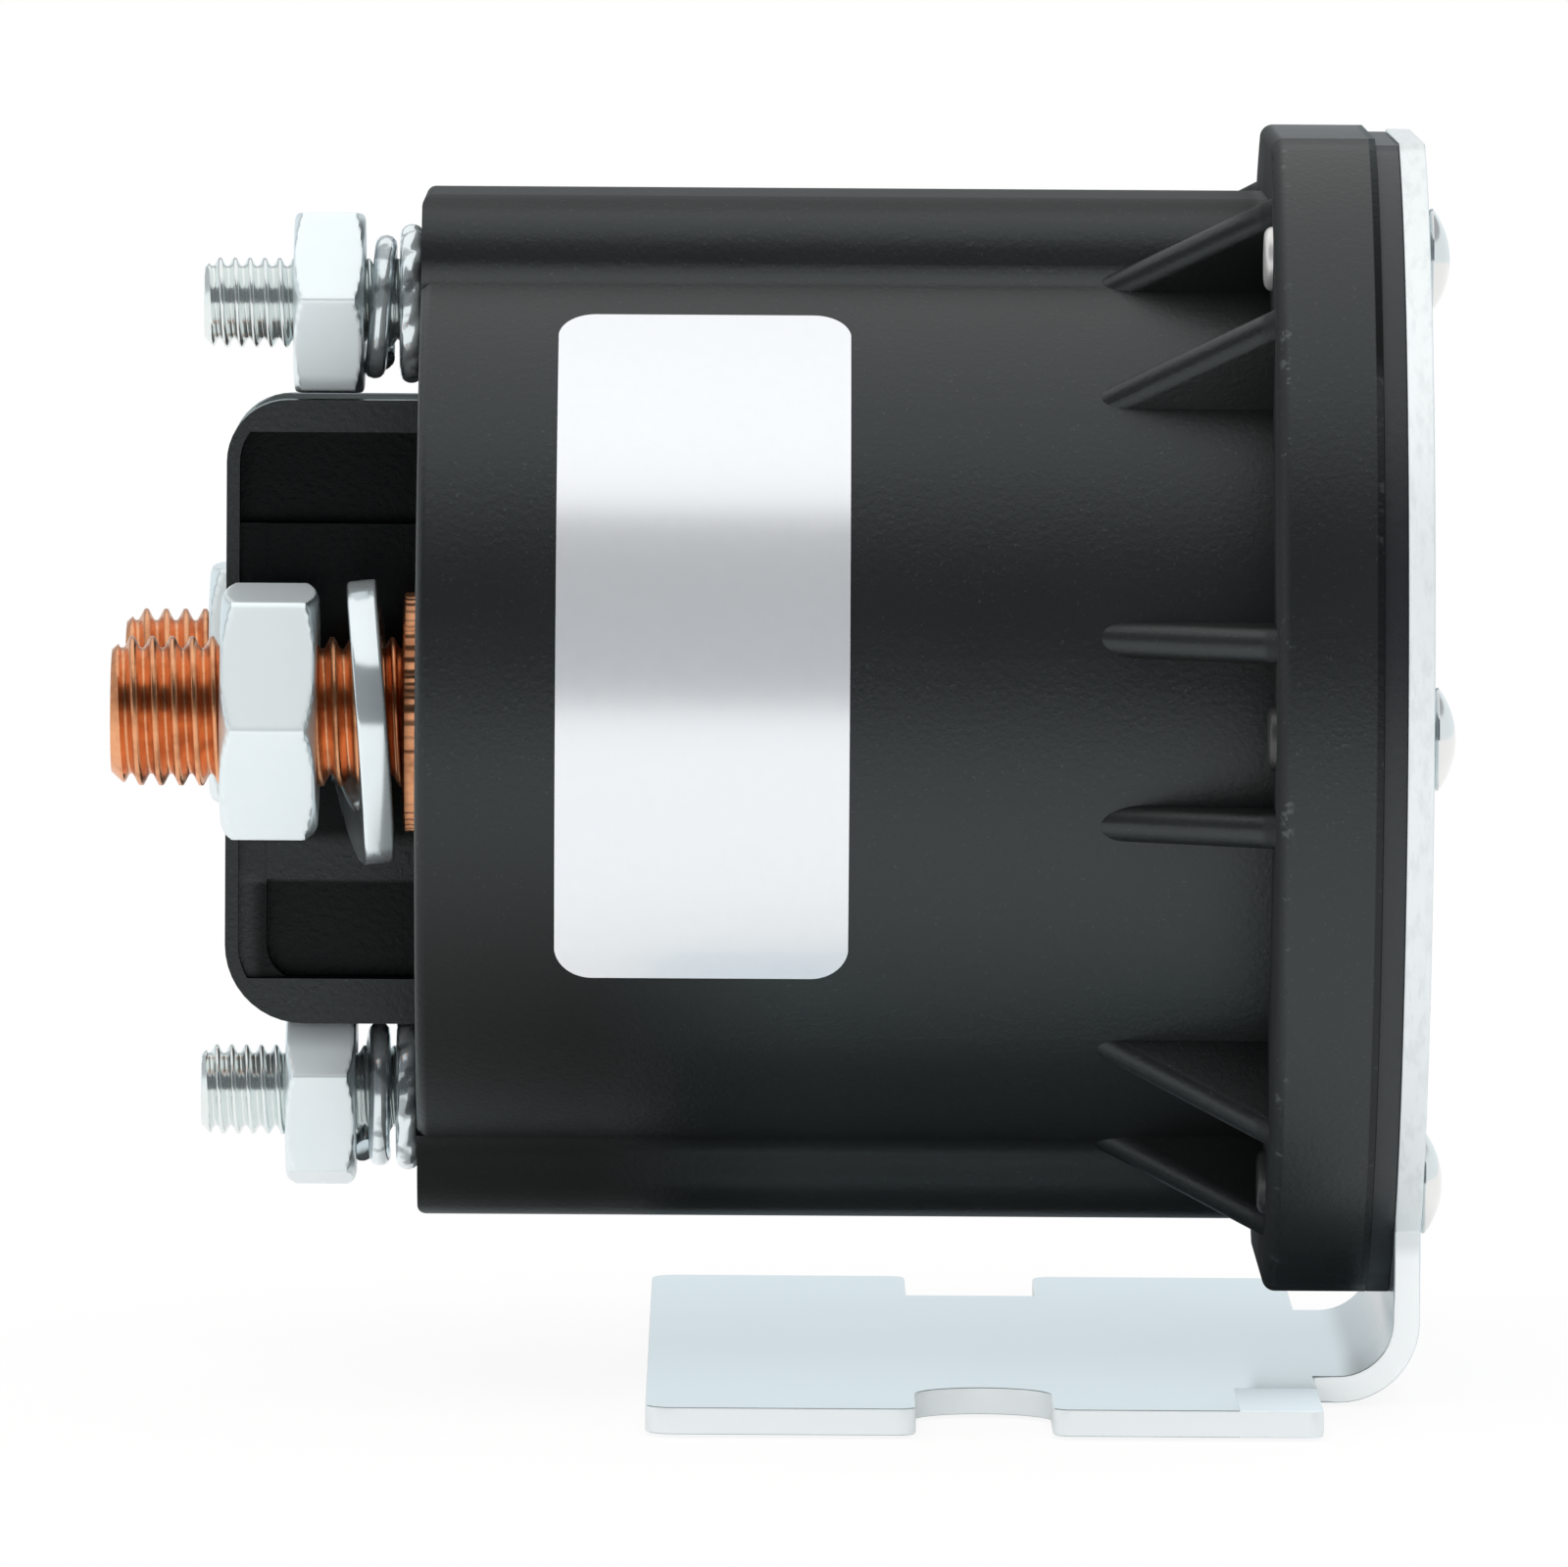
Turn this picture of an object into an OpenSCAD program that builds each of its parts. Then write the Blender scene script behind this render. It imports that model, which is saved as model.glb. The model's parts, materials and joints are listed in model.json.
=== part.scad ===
// Four-terminal solenoid relay on an L bracket.
// It stands on the bracket's foot, with the solenoid's axis level along X.
// The origin is on the underside of the foot, midway between its two notches.
// The terminals point to -X and the bracket's upright plate is at +X.

/* [Housing] */
// Outer radius of the round body
body_r = 25; // [24:0.25:27]
// Length of the body from the front face to the flange
body_len = 44.9; // [42:0.1:55]
// Wall of the round body around the coil
body_wall = 2.4; // [1.8:0.1:2.8]
// Thickness of the front wall that carries the terminals
front_wall = 5; // [4:0.25:6]
// Rounding of the moulding's outer edges
edge_r = 0.6; // [0.3:0.05:1]
// How far the two stud lobes stand above the round body
lobe_rise = 2.2; // [1.8:0.1:3]
// Width of a stud lobe
lobe_w = 19.2; // [17:0.2:21]
// Rounding of a lobe's upper corners
lobe_corner = 4; // [3:0.25:6]
// Hollow rounding between a lobe and the round body
lobe_fillet = 2; // [1.5:0.25:4]

/* [Flange] */
// Radial width of the flange outside the round body
flange_rim = 7.4; // [6.6:0.1:9]
// Thickness of the flange
flange_t = 5.5; // [4.5:0.1:7]
// How far the flange's top and bottom flats stand above the lobes
flange_over_lobe = 3.4; // [2.6:0.1:4]
// Rounding of the flange's front edge
flange_edge_r = 0.7; // [0.5:0.1:1.5]

/* [Gusset ribs] */
// Distance between the two ribs of a pair, centre to centre
rib_gap = 9.6; // [9:0.2:10]
// Thickness of a rib
rib_t = 1.9; // [1.4:0.1:2]
// Length of a rib along the body
rib_len = 9; // [7:0.25:12]
// How far a rib's top stays inside the flange's rim
rib_top_inset = 2.4; // [1.8:0.1:3]
// Angle of the slanting rib pairs above and below the level one
rib_angle = 55; // [53:0.5:57]

/* [Terminal barrier] */
// How far the barrier stands out of the front face
barrier_out = 10.4; // [8:0.2:13]
// Height of the barrier above the axis
barrier_up = 16.1; // [15.9:0.1:17]
// Depth of the barrier below the axis
barrier_down = 17.2; // [16.5:0.1:17.5]
// Thickness of the barrier at its rim
barrier_w = 8.4; // [7:0.1:8.8]
// Thickness of the barrier's raised middle block
barrier_block_w = 7.6; // [6.6:0.1:8]
// Thickness of the step inside the front rim
barrier_step_w = 6.6; // [5.6:0.1:7]
// Thickness of the thin web in the recesses
barrier_web_w = 3; // [2:0.1:4]
// Half height of the raised middle block
barrier_block_h = 9.5; // [8:0.1:11]
// Thickness of the upper end wall
barrier_top_wall = 1.7; // [1.3:0.1:2]
// Thickness of the lower end wall
barrier_low_wall = 2.4; // [1.6:0.1:2.8]
// Width of the front rim
barrier_rim = 0.7; // [0.5:0.05:1]
// Width of the rim and the step together
barrier_step = 2.2; // [1.6:0.1:2.6]
// Rounding of the barrier's upper front corner
barrier_top_r = 3.3; // [2.5:0.1:4]
// Rounding of the barrier's lower front corner
barrier_low_r = 4.2; // [3:0.1:5]

/* [Base gasket] */
// Thickness of the gasket plate
gasket_t = 1.25; // [0.8:0.05:2]
// How far the gasket stays inside the flange's outline
gasket_inset = 0.35; // [0.1:0.05:0.8]

/* [Mounting bracket] */
// Thickness of the bracket's sheet
sheet_t = 1.4; // [1:0.05:2]
// How far the upright plate stays inside the flange's outline
plate_inset = 0.2; // [0:0.05:0.6]
// Height of the solenoid's axis above the foot's underside
axis_h = 35.8; // [35.2:0.1:45]
// Distance from the middle of the foot to the back of the upright plate
foot_reach = 23.15; // [22.6:0.05:26]
// Length of the foot's wide part
foot_len = 35.15; // [33:0.1:36]
// Width of the foot
foot_w = 72; // [66:0.5:80]
// Width of the neck between foot and plate
neck_w = 36; // [30:0.5:40]
// Inner radius of the bend
bend_in_r = 2.9; // [1.5:0.1:3]
// Width of the two foot notches
notch_w = 7.1; // [5:0.1:8]
// Distance between the bolt centres in the two notches
notch_pitch = 57; // [54:0.5:59]
// Rounding of the foot's outer corners
foot_corner_r = 1.5; // [0.5:0.1:2.5]
// Rounding at the mouths of the notches
notch_mouth_r = 1; // [0.4:0.1:2]

/* [Rivets] */
// How far the rivet circle lies inside the flange's rim
rivet_inset = 3.8; // [3.6:0.1:4]
// Angle of the slanting rivets above and below the level ones
rivet_angle = 58.5; // [57.5:0.5:59.5]
// Radius of a rivet's shank
rivet_r = 1.3; // [1:0.05:1.4]
// Radius of a rivet's domed head
rivet_head_r = 2.7; // [2.2:0.05:3]
// Height of a rivet's domed head
rivet_head_h = 1.2; // [0.8:0.05:1.5]
// Radius of a rivet's rolled tail
rivet_tail_r = 1.7; // [1.5:0.05:1.8]
// Height of a rivet's rolled tail
rivet_tail_h = 0.45; // [0.3:0.05:0.6]

/* [Label] */
// Distance of the label from the front face
label_setback = 7.35; // [5:0.1:12]
// Width of the label along the body
label_w = 15.4; // [10:0.2:20]
// Angle of the label's upper edge above the level
label_up = 57.6; // [45:0.2:58]
// Angle of the label's lower edge below the level
label_down = 32; // [20:0.2:50]
// Rounding of the label's corners
label_corner_r = 2; // [1:0.1:3]
// Thickness of the label foil
label_t = 0.1; // [0.06:0.01:0.2]

/* [Power terminals] */
// Distance between the two power studs
power_pitch = 24; // [23.8:0.1:25]
// Radius of a power stud over its thread
power_r = 3.97; // [3.6:0.01:3.97]
// Radius at which the threads of stud and nut meet
power_mesh_r = 3.62; // [3.4:0.01:3.62]
// How far a power stud stands out of the front face
power_out = 16.2; // [15:0.1:20]
// Length of the chamfer at a power stud's tip
power_tip = 0.7; // [0.4:0.05:1]
// Radius of a power stud's contact head
power_head_r = 7; // [6:0.1:7.2]
// Thickness of a power stud's contact head
power_head_t = 3; // [2.4:0.1:3.5]
// Outer radius of the knurled collar
collar_r = 6.35; // [5.8:0.05:7]
// Thickness of the knurled collar
collar_t = 0.75; // [0.5:0.05:1]
// Width across the flats of a power nut
power_nut_af = 12.7; // [12.5:0.05:12.9]
// Height of a power nut
power_nut_h = 5.1; // [4.7:0.05:5.5]
// Distance of the right power nut from the front face
power_nut_gap_right = 5.3; // [5.1:0.05:6]
// Distance of the left power nut from the front face
power_nut_gap_left = 6.55; // [5.1:0.05:7]
// Turn of the right power nut
power_nut_turn_right = 35; // [0:1:60]
// Turn of the left power nut
power_nut_turn_left = 30; // [0:1:60]
// Outer radius of a power stud's lock washer
power_washer_r = 7.5; // [7:0.05:7.6]
// Thickness of a power stud's lock washer
power_washer_t = 1.6; // [1.4:0.05:1.9]
// Lean of a power stud's lock washer
power_washer_lean = 8; // [4:0.5:8]
// Nod of a power stud's lock washer, its top towards the nut
power_washer_nod = -2.5; // [-4:0.5:0]
// Angle of the right lock washer's split, from its top
power_split_right = 265; // [0:5:355]
// Angle of the left lock washer's split, from its top
power_split_left = 60; // [0:5:355]

/* [Coil terminals] */
// Distance of a coil stud's axis inside the round body
coil_stud_inset = 3.9; // [3.7:0.1:4.2]
// Radius of a coil stud over its thread
coil_stud_r = 2.41; // [2.3:0.01:2.5]
// Radius at which the threads of coil stud and nut meet
coil_mesh_r = 2.15; // [2:0.01:2.2]
// How far a coil stud stands out of the front face
coil_stud_out = 11.7; // [11:0.1:14]
// Length of the chamfer at a coil stud's tip
coil_tip = 0.5; // [0.3:0.05:0.8]
// Radius of a coil stud's head
coil_head_r = 3.4; // [3:0.05:3.6]
// Thickness of a coil stud's head
coil_head_t = 2.2; // [1.8:0.1:2.8]
// Width across the flats of a coil nut
coil_nut_af = 9.52; // [9:0.02:10]
// Height of a coil nut
coil_nut_h = 3.75; // [3:0.05:4]
// Distance of the upper coil nut from the front face
coil_nut_gap_upper = 3.15; // [3.1:0.05:3.6]
// Distance of the lower coil nut from the front face
coil_nut_gap_lower = 3.4; // [3.1:0.05:3.6]
// Turn of the upper coil nut
coil_nut_turn_upper = 26; // [0:1:60]
// Turn of the lower coil nut
coil_nut_turn_lower = 18; // [0:1:60]
// Outer radius of a coil stud's toothed washer
tooth_washer_r = 4.25; // [4:0.05:4.4]
// Thickness of a toothed washer's plate
tooth_washer_t = 0.5; // [0.4:0.05:0.6]
// Outer radius of a coil stud's lock washer
coil_washer_r = 3.85; // [3.6:0.05:4.1]
// Thickness of a coil stud's lock washer
coil_washer_t = 1.1; // [0.9:0.05:1.2]
// Lean of a coil stud's lock washer
coil_washer_lean = 3.5; // [0:0.5:4]
// Angle of the upper lock washer's split, from its top
coil_split_upper = 200; // [0:5:355]
// Angle of the lower lock washer's split, from its top
coil_split_lower = 190; // [0:5:355]

/* [Contacts and plunger] */
// Depth of the contact chamber behind the front wall
chamber_depth = 14; // [13:0.1:16]
// Width of the ledge that seats the yoke plate
ledge_w = 2; // [1.2:0.1:2.4]
// Open gap between the contact heads and the bridge
contact_gap = 2; // [1.6:0.1:2.4]
// Extra plunger travel after the contacts touch
over_travel = 0.4; // [0.3:0.05:0.6]
// Radius of the contact bridge
bridge_r = 17; // [15.5:0.1:17.2]
// Thickness of the contact bridge
bridge_t = 1.8; // [1.2:0.1:2]
// Radius of the bridge's insulating washers
bush_r = 4.2; // [3.9:0.05:4.4]
// Thickness of the bridge's insulating washers
bush_t = 0.9; // [0.7:0.05:1.1]
// Radius of the push rod
rod_r = 2; // [1.8:0.05:2.1]
// Length of the rod in front of the clip
rod_nose = 0.5; // [0.3:0.05:0.6]
// Radius of the rod's clip groove
groove_r = 1.5; // [1.3:0.05:1.6]
// Thickness of the retaining clip
clip_t = 0.8; // [0.6:0.05:0.9]
// Outer radius of the retaining clip
clip_r = 3.5; // [3.1:0.05:3.7]
// Length of the contact spring
contact_spring_len = 4.3; // [4:0.1:4.8]
// Thickness of the rod's spring collar
rod_collar_t = 0.8; // [0.6:0.05:1]
// Radius of the plunger
plunger_r = 6.5; // [6:0.05:7]
// Depth of the rod's seat in the plunger
rod_seat = 10; // [7:0.5:12]

/* [Coil and yoke] */
// Thickness of the yoke's front plate
yoke_plate_t = 2; // [1.5:0.1:2.5]
// Wall of the yoke cup
cup_wall = 1.4; // [1:0.1:1.8]
// Thickness of the yoke cup's bottom
cup_floor = 2; // [1.5:0.1:2.5]
// Length of the fixed core inside the bobbin
core_len = 10; // [8:0.25:12]
// Radius of the core's spigot in the yoke plate
spigot_r = 5.3; // [5:0.05:5.6]
// Radius of the core's pocket for the return spring
spring_pocket_r = 4.3; // [4.1:0.05:4.6]
// Depth of the core's pocket for the return spring
spring_pocket = 6; // [5.5:0.1:6.5]
// Wall of the bobbin's tube
bobbin_wall = 1; // [0.8:0.05:1.4]
// Thickness of the bobbin's flanges
bobbin_flange_t = 1.2; // [0.8:0.05:1.6]
// How far the winding stays inside the bobbin's flanges
winding_inset = 1; // [0.6:0.1:1.6]
// Radius of a coil lead's wire
lead_r = 0.5; // [0.35:0.05:0.6]

/* [Clearances] */
// Running clearance of the plunger in the bobbin
run_fit = 0.05; // [0.03:0.01:0.08]
// Clearance between parts that are pressed or staked together
snug = 0.02; // [0.01:0.01:0.03]
// Clearance around parts that are dropped in
loose = 0.1; // [0.06:0.01:0.15]
// Clearance of the power studs' lock washers on their studs
power_washer_play = 0.45; // [0.4:0.01:0.5]
// Clearance of the coil studs' lock washers on their studs
coil_washer_play = 0.25; // [0.22:0.01:0.3]
// Clearance between the barrier and the corners of a coil nut
nut_swing = 0.15; // [0.1:0.01:0.2]

/* [Hidden] */

$fn = 64;

// How far cutting shapes run past the faces that they cut
cut = 1;
// How far joined shapes of one moulding run into each other
bite = 1;

// Places along the axis, measured back from the front face
cover_len = body_len + flange_t;
plate_front = cover_len + gasket_t;
plate_back = plate_front + sheet_t;
face_x = foot_reach - plate_back;

// Radii and heights of the housing
bay_r = body_r - body_wall;
chamber_r = bay_r - ledge_w;
lobe_top = body_r + lobe_rise;
flange_r = body_r + flange_rim;
flange_flat = lobe_top + flange_over_lobe;
lobe_wall = body_wall - 0.2;
lobe_pocket_w = lobe_w - 5 * body_wall;
coil_stud_z = body_r - coil_stud_inset;

// Gusset ribs and rivets
rib_root = sqrt(body_r * body_r - rib_gap * rib_gap / 4);
rib_top = flange_r - rib_top_inset;
rib_slope = atan2(rib_top - rib_root, rib_len);
rib_depth = (rib_top - rib_root) * cos(rib_slope) + 0.5;
rivet_circle_r = flange_r - rivet_inset;
rib_pair_angles = [0, rib_angle, 180 - rib_angle, 180, 180 + rib_angle, -rib_angle];
rivet_angles = [0, rivet_angle, 180 - rivet_angle, 180, 180 + rivet_angle, -rivet_angle];

// Bracket
bend_out_r = bend_in_r + sheet_t;
foot_front = -foot_len / 2;
foot_back = foot_len / 2;

// Contact chamber
head_back = front_wall + power_head_t;
bridge_front = head_back + contact_gap;
bridge_back = bridge_front + bridge_t;
clip_back = bridge_front - bush_t;
clip_front = clip_back - clip_t;
spring_front = bridge_back + bush_t;
spring_back = spring_front + contact_spring_len;
rod_front = clip_front - rod_nose;
travel = contact_gap + over_travel;

// Coil, yoke and plunger
ledge_z = front_wall + chamber_depth;
yoke_back = ledge_z + yoke_plate_t;
cup_r = bay_r - loose;
cup_in_r = cup_r - cup_wall;
floor_z = cover_len - cup_floor;
core_r = plunger_r;
core_back = yoke_back + core_len;
bore_r = plunger_r + run_fit;
tube_r = bore_r + bobbin_wall;
bobbin_r = cup_in_r - loose;
winding_r = bobbin_r - winding_inset;
stop_gap = 0.05;
plunger_front = core_back + travel + stop_gap;
plunger_back = floor_z - stop_gap;
rod_back = plunger_front + rod_seat;

// Leads run in the lobes, outside the yoke
lead_z = coil_stud_z + coil_head_r - lead_r - 0.3;
lead_turn = yoke_back + bobbin_flange_t + 1.8;
lead_bend_r = 1.2;
slot_w = 4;

// Round reliefs in the barrier let the coil nuts turn
relief_r = coil_nut_af / 2 / cos(30) + nut_swing;

// Seats of the washers and nuts
tooth_washer_count = 12;
tooth_twist = 28;
tooth_stack = 1.3;

// The solenoid's own frame: z runs back from the front face along the axis,
// x points up, and y points to the right of someone who faces the terminals
module on_axis() {
    translate([face_x, 0, axis_h]) rotate([0, 90, 0]) rotate([0, 0, 180]) children();
}

// Turns what is drawn along y to an angle above the right hand level
module at_angle(a) {
    rotate([0, 0, -a]) children();
}

// Extrudes an outline drawn in x and z along y, centred
module along_y(w) {
    rotate([90, 0, 0]) linear_extrude(w, center = true) children();
}

// Upright strip from 0 to w and 0 to h whose corner at w, 0 is rounded
module front_rounded(w, h, r) {
    translate([0, r]) square([w, h - r]);
    square([w - r, r]);
    translate([w - r, r]) circle(r);
}

// Ring of rectangular section from z to z + h
module ring(r_out, r_in, z, h) {
    translate([0, 0, z]) difference() {
        cylinder(r = r_out, h = h);
        translate([0, 0, -cut]) cylinder(r = r_in, h = h + 2 * cut);
    }
}

// Outline of the upper stud lobe, with its hollow roundings into the round body
module lobe_outline() {
    c = min(lobe_corner, lobe_w / 2 - 1);
    k = [lobe_top - c, lobe_w / 2 - c];
    d = norm(k);
    far = body_r + lobe_fillet;
    near = c + lobe_fillet;
    along = (far * far - near * near + d * d) / (2 * d);
    across = sqrt(far * far - along * along);
    e = k / d;
    centre = [along * e[0] - across * e[1], along * e[1] + across * e[0]];
    translate([0, -k[1]]) square([lobe_top, 2 * k[1]]);
    translate([0, -lobe_w / 2]) square([k[0], lobe_w]);
    for (s = [-1, 1]) {
        translate([k[0], s * k[1]]) circle(c);
        difference() {
            polygon([[0, 0], [k[0], s * k[1]], [centre[0], s * centre[1]]]);
            translate([centre[0], s * centre[1]]) circle(lobe_fillet);
        }
    }
}

module lobe() {
    intersection() {
        linear_extrude(body_len + bite) lobe_outline();
        along_y(lobe_w + body_r) front_rounded(lobe_top, body_len + 2 * bite, edge_r);
    }
}

module flange() {
    half = flange_flat - flange_edge_r;
    translate([0, 0, body_len]) intersection() {
        rotate_extrude() front_rounded(flange_r, flange_t, flange_edge_r);
        along_y(2 * flange_r + cut) for (s = [0, 1])
            mirror([s, 0]) front_rounded(flange_flat, flange_t, flange_edge_r);
    }
}

// One gusset: a plate with a round top edge that climbs from the body to the flange
module rib(side) {
    run = norm([rib_len, rib_top - rib_root]) + bite;
    translate([side * rib_gap / 2, rib_root, body_len - rib_len])
        rotate([-rib_slope, 0, 0])
        linear_extrude(run) {
            translate([-rib_t / 2, -rib_depth]) square([rib_t, rib_depth - rib_t / 2]);
            translate([0, -rib_t / 2]) circle(rib_t / 2);
        }
}

// Side outline of the barrier in x and z, drawn in from its edge by an inset
module barrier_side(inset) {
    front = -barrier_out + inset;
    top_r = barrier_top_r - inset;
    low_r = barrier_low_r - inset;
    hi = barrier_up - inset;
    lo = -barrier_down + inset;
    translate([lo + low_r, front]) square([hi - lo - top_r - low_r, -front + bite]);
    translate([lo, front + low_r]) square([low_r, -front - low_r + bite]);
    translate([hi - top_r, front + top_r]) square([top_r, -front - top_r + bite]);
    translate([hi - top_r, front + top_r]) circle(top_r);
    translate([lo + low_r, front + low_r]) circle(low_r);
}

// Recess outline between the end walls, kept back from the front edge by a margin
module barrier_recess(margin) {
    hi = barrier_up - barrier_top_wall;
    lo = -barrier_down + barrier_low_wall;
    intersection() {
        barrier_side(margin);
        translate([lo, -barrier_out]) square([hi - lo, barrier_out]);
    }
}

// The upper pocket reaches out to the barrier's rim
module upper_recess() {
    intersection() {
        barrier_recess(barrier_rim);
        translate([0, -barrier_out]) square([barrier_up, barrier_out]);
    }
}

module barrier_block() {
    translate([-barrier_block_h, -barrier_out]) square([2 * barrier_block_h, barrier_out]);
}

// Wall between the power studs, hollowed on both sides around a middle block
module barrier() {
    difference() {
        along_y(barrier_w) barrier_side(0);
        for (s = [-1, 1]) {
            translate([0, s * (barrier_step_w / 2 + barrier_w / 2), 0])
                along_y(barrier_w) difference() {
                    barrier_recess(barrier_rim);
                    intersection() {
                        barrier_block();
                        barrier_recess(barrier_step);
                    }
                }
            translate([0, s * (barrier_block_w / 2 + barrier_w / 2), 0])
                along_y(barrier_w) barrier_recess(barrier_step);
            translate([0, s * (barrier_web_w / 2 + barrier_w / 2), 0])
                along_y(barrier_w) difference() {
                    union() {
                        barrier_recess(barrier_step);
                        upper_recess();
                    }
                    barrier_block();
                }
            translate([s * coil_stud_z, 0, -barrier_out - cut])
                cylinder(r = relief_r, h = barrier_out + cut + bite);
        }
    }
}

// Hollow of the cover: contact chamber, coil bay and the two lobe channels
module cover_hollow() {
    translate([0, 0, front_wall]) cylinder(r = chamber_r, h = cover_len);
    translate([0, 0, ledge_z]) cylinder(r = bay_r, h = cover_len);
    channel = lobe_top - lobe_wall;
    translate([-channel, -lobe_pocket_w / 2, front_wall])
        cube([2 * channel, lobe_pocket_w, cover_len]);
}

module stud_holes() {
    for (s = [-1, 1]) {
        translate([0, s * power_pitch / 2, -cut])
            cylinder(r = power_r + loose, h = front_wall + 2 * cut);
        translate([s * coil_stud_z, 0, -cut])
            cylinder(r = coil_stud_r + loose, h = front_wall + 2 * cut);
    }
}

module rivet_holes(z, h) {
    for (a = rivet_angles)
        at_angle(a) translate([0, rivet_circle_r, z - cut])
            cylinder(r = rivet_r + loose, h = h + 2 * cut);
}

module housing_cover() {
    color("#26292b") on_axis() difference() {
        union() {
            rotate_extrude() front_rounded(body_r, body_len + bite, edge_r);
            lobe();
            mirror([1, 0, 0]) lobe();
            flange();
            for (a = rib_pair_angles, s = [-1, 1]) at_angle(a) rib(s);
            barrier();
        }
        cover_hollow();
        stud_holes();
        rivet_holes(body_len, flange_t);
    }
}

// Outline of the flange, drawn in by an inset
module end_outline(inset) {
    intersection() {
        circle(flange_r - inset);
        square([2 * (flange_flat - inset), 2 * flange_r], center = true);
    }
}

module base_gasket() {
    color("#17191a") on_axis() difference() {
        translate([0, 0, cover_len]) linear_extrude(gasket_t) end_outline(gasket_inset);
        rivet_holes(cover_len, gasket_t);
    }
}

// Rounds a square outer corner: the piece to take away at the origin's corner
module corner_waste(r) {
    difference() {
        translate([-cut, -cut]) square(r + cut);
        translate([r, r]) circle(r);
    }
}

// Notch in the foot's edge, open towards +y, with a round or a square inner end
module notch(round_end) {
    bolt_y = notch_pitch / 2;
    inner = bolt_y - notch_w / 2;
    start = round_end ? bolt_y : inner;
    translate([-notch_w / 2, start]) square([notch_w, foot_w / 2 - start + cut]);
    if (round_end) translate([0, bolt_y]) circle(notch_w / 2);
    for (s = [0, 1])
        mirror([s, 0]) translate([notch_w / 2, foot_w / 2])
            mirror([0, 1]) corner_waste(notch_mouth_r);
}

module foot_outline() {
    difference() {
        union() {
            translate([foot_front, -foot_w / 2]) square([foot_len, foot_w]);
            translate([0, -neck_w / 2]) square([foot_reach - bend_out_r, neck_w]);
        }
        notch(false);
        mirror([0, 1]) notch(true);
        for (s = [0, 1]) mirror([0, s]) {
            translate([foot_front, -foot_w / 2]) corner_waste(foot_corner_r);
            translate([foot_back, -foot_w / 2]) mirror([1, 0]) corner_waste(foot_corner_r / 2);
        }
    }
}

module bend() {
    translate([foot_reach - bend_out_r, 0, bend_out_r]) rotate([90, 0, 0])
        linear_extrude(neck_w, center = true) intersection() {
            difference() {
                circle(bend_out_r);
                circle(bend_in_r);
            }
            translate([0, -bend_out_r]) square(bend_out_r);
        }
}

module mounting_bracket() {
    neck_low = axis_h - bend_out_r;
    color("#dfe6ea") difference() {
        union() {
            on_axis() translate([0, 0, plate_front]) linear_extrude(sheet_t) {
                end_outline(plate_inset);
                translate([-neck_low, -neck_w / 2]) square([neck_low, neck_w]);
            }
            bend();
            linear_extrude(sheet_t) foot_outline();
        }
        on_axis() rivet_holes(plate_front, sheet_t);
    }
}

// Tubular rivet: domed head behind the bracket, rolled tail on the flange
module rivet(index) {
    tail_bore_r = rivet_r / 2;
    lip = rivet_tail_h / 2;
    dome_r = (rivet_head_r * rivet_head_r + rivet_head_h * rivet_head_h) / (2 * rivet_head_h);
    color("#cfd2d4") on_axis() at_angle(rivet_angles[index - 1])
        translate([0, rivet_circle_r, 0]) {
            difference() {
                rotate_extrude() {
                    translate([0, body_len - rivet_tail_h])
                        square([rivet_r, plate_back - body_len + rivet_tail_h]);
                    translate([0, body_len - rivet_tail_h])
                        square([rivet_tail_r - lip, rivet_tail_h]);
                    translate([rivet_tail_r - lip, body_len - lip]) circle(lip);
                }
                translate([0, 0, body_len - rivet_tail_h - cut])
                    cylinder(r = tail_bore_r, h = flange_t / 2);
            }
            rotate_extrude() intersection() {
                translate([0, plate_back - dome_r + rivet_head_h]) circle(dome_r);
                translate([0, plate_back]) square([rivet_head_r, rivet_head_h]);
            }
        }
}

// What is cut away around a rounded end of the label, drawn flat
module label_end_waste() {
    bend_y = label_w / 2 - label_corner_r + 0.02;
    difference() {
        translate([0, -label_w / 2 - cut]) square([label_corner_r + 3 * cut, label_w + 2 * cut]);
        translate([-cut, -bend_y]) square([label_corner_r + cut, 2 * bend_y]);
        for (s = [-1, 1]) translate([0, s * bend_y]) circle(label_corner_r);
    }
}

// Foil wrapped on the right side of the body, with rounded corners
module label_foil() {
    corner = asin(label_corner_r / body_r);
    half = (label_up + label_down) / 2;
    middle = 90 - (label_up - label_down) / 2;
    over = 2;
    color("#e6e8ea") on_axis() rotate([0, 0, middle])
        translate([0, 0, label_setback]) difference() {
            rotate([0, 0, -half - over]) rotate_extrude(angle = 2 * (half + over))
                translate([body_r, 0]) square([label_t, label_w]);
            for (s = [0, 1])
                mirror([0, s, 0]) rotate([0, 0, half - corner])
                    translate([body_r / 2, 0, label_w / 2]) rotate([90, 0, 90])
                    linear_extrude(body_r) label_end_waste();
        }
}

// Stud turned from one bar. Its thread is drawn at its outer radius, and where the
// nut sits at the radius where both threads meet. All z run back from the face.
module stud(out, r, mesh_r, tip, nut_gap, nut_h, head_r, head_t) {
    rotate_extrude() polygon([
        [0, -out], [r - tip, -out], [r, -out + tip],
        [r, -nut_gap - nut_h], [mesh_r, -nut_gap - nut_h],
        [mesh_r, -nut_gap], [r, -nut_gap],
        [r, front_wall], [head_r, front_wall],
        [head_r, front_wall + head_t], [0, front_wall + head_t]
    ]);
}

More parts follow.
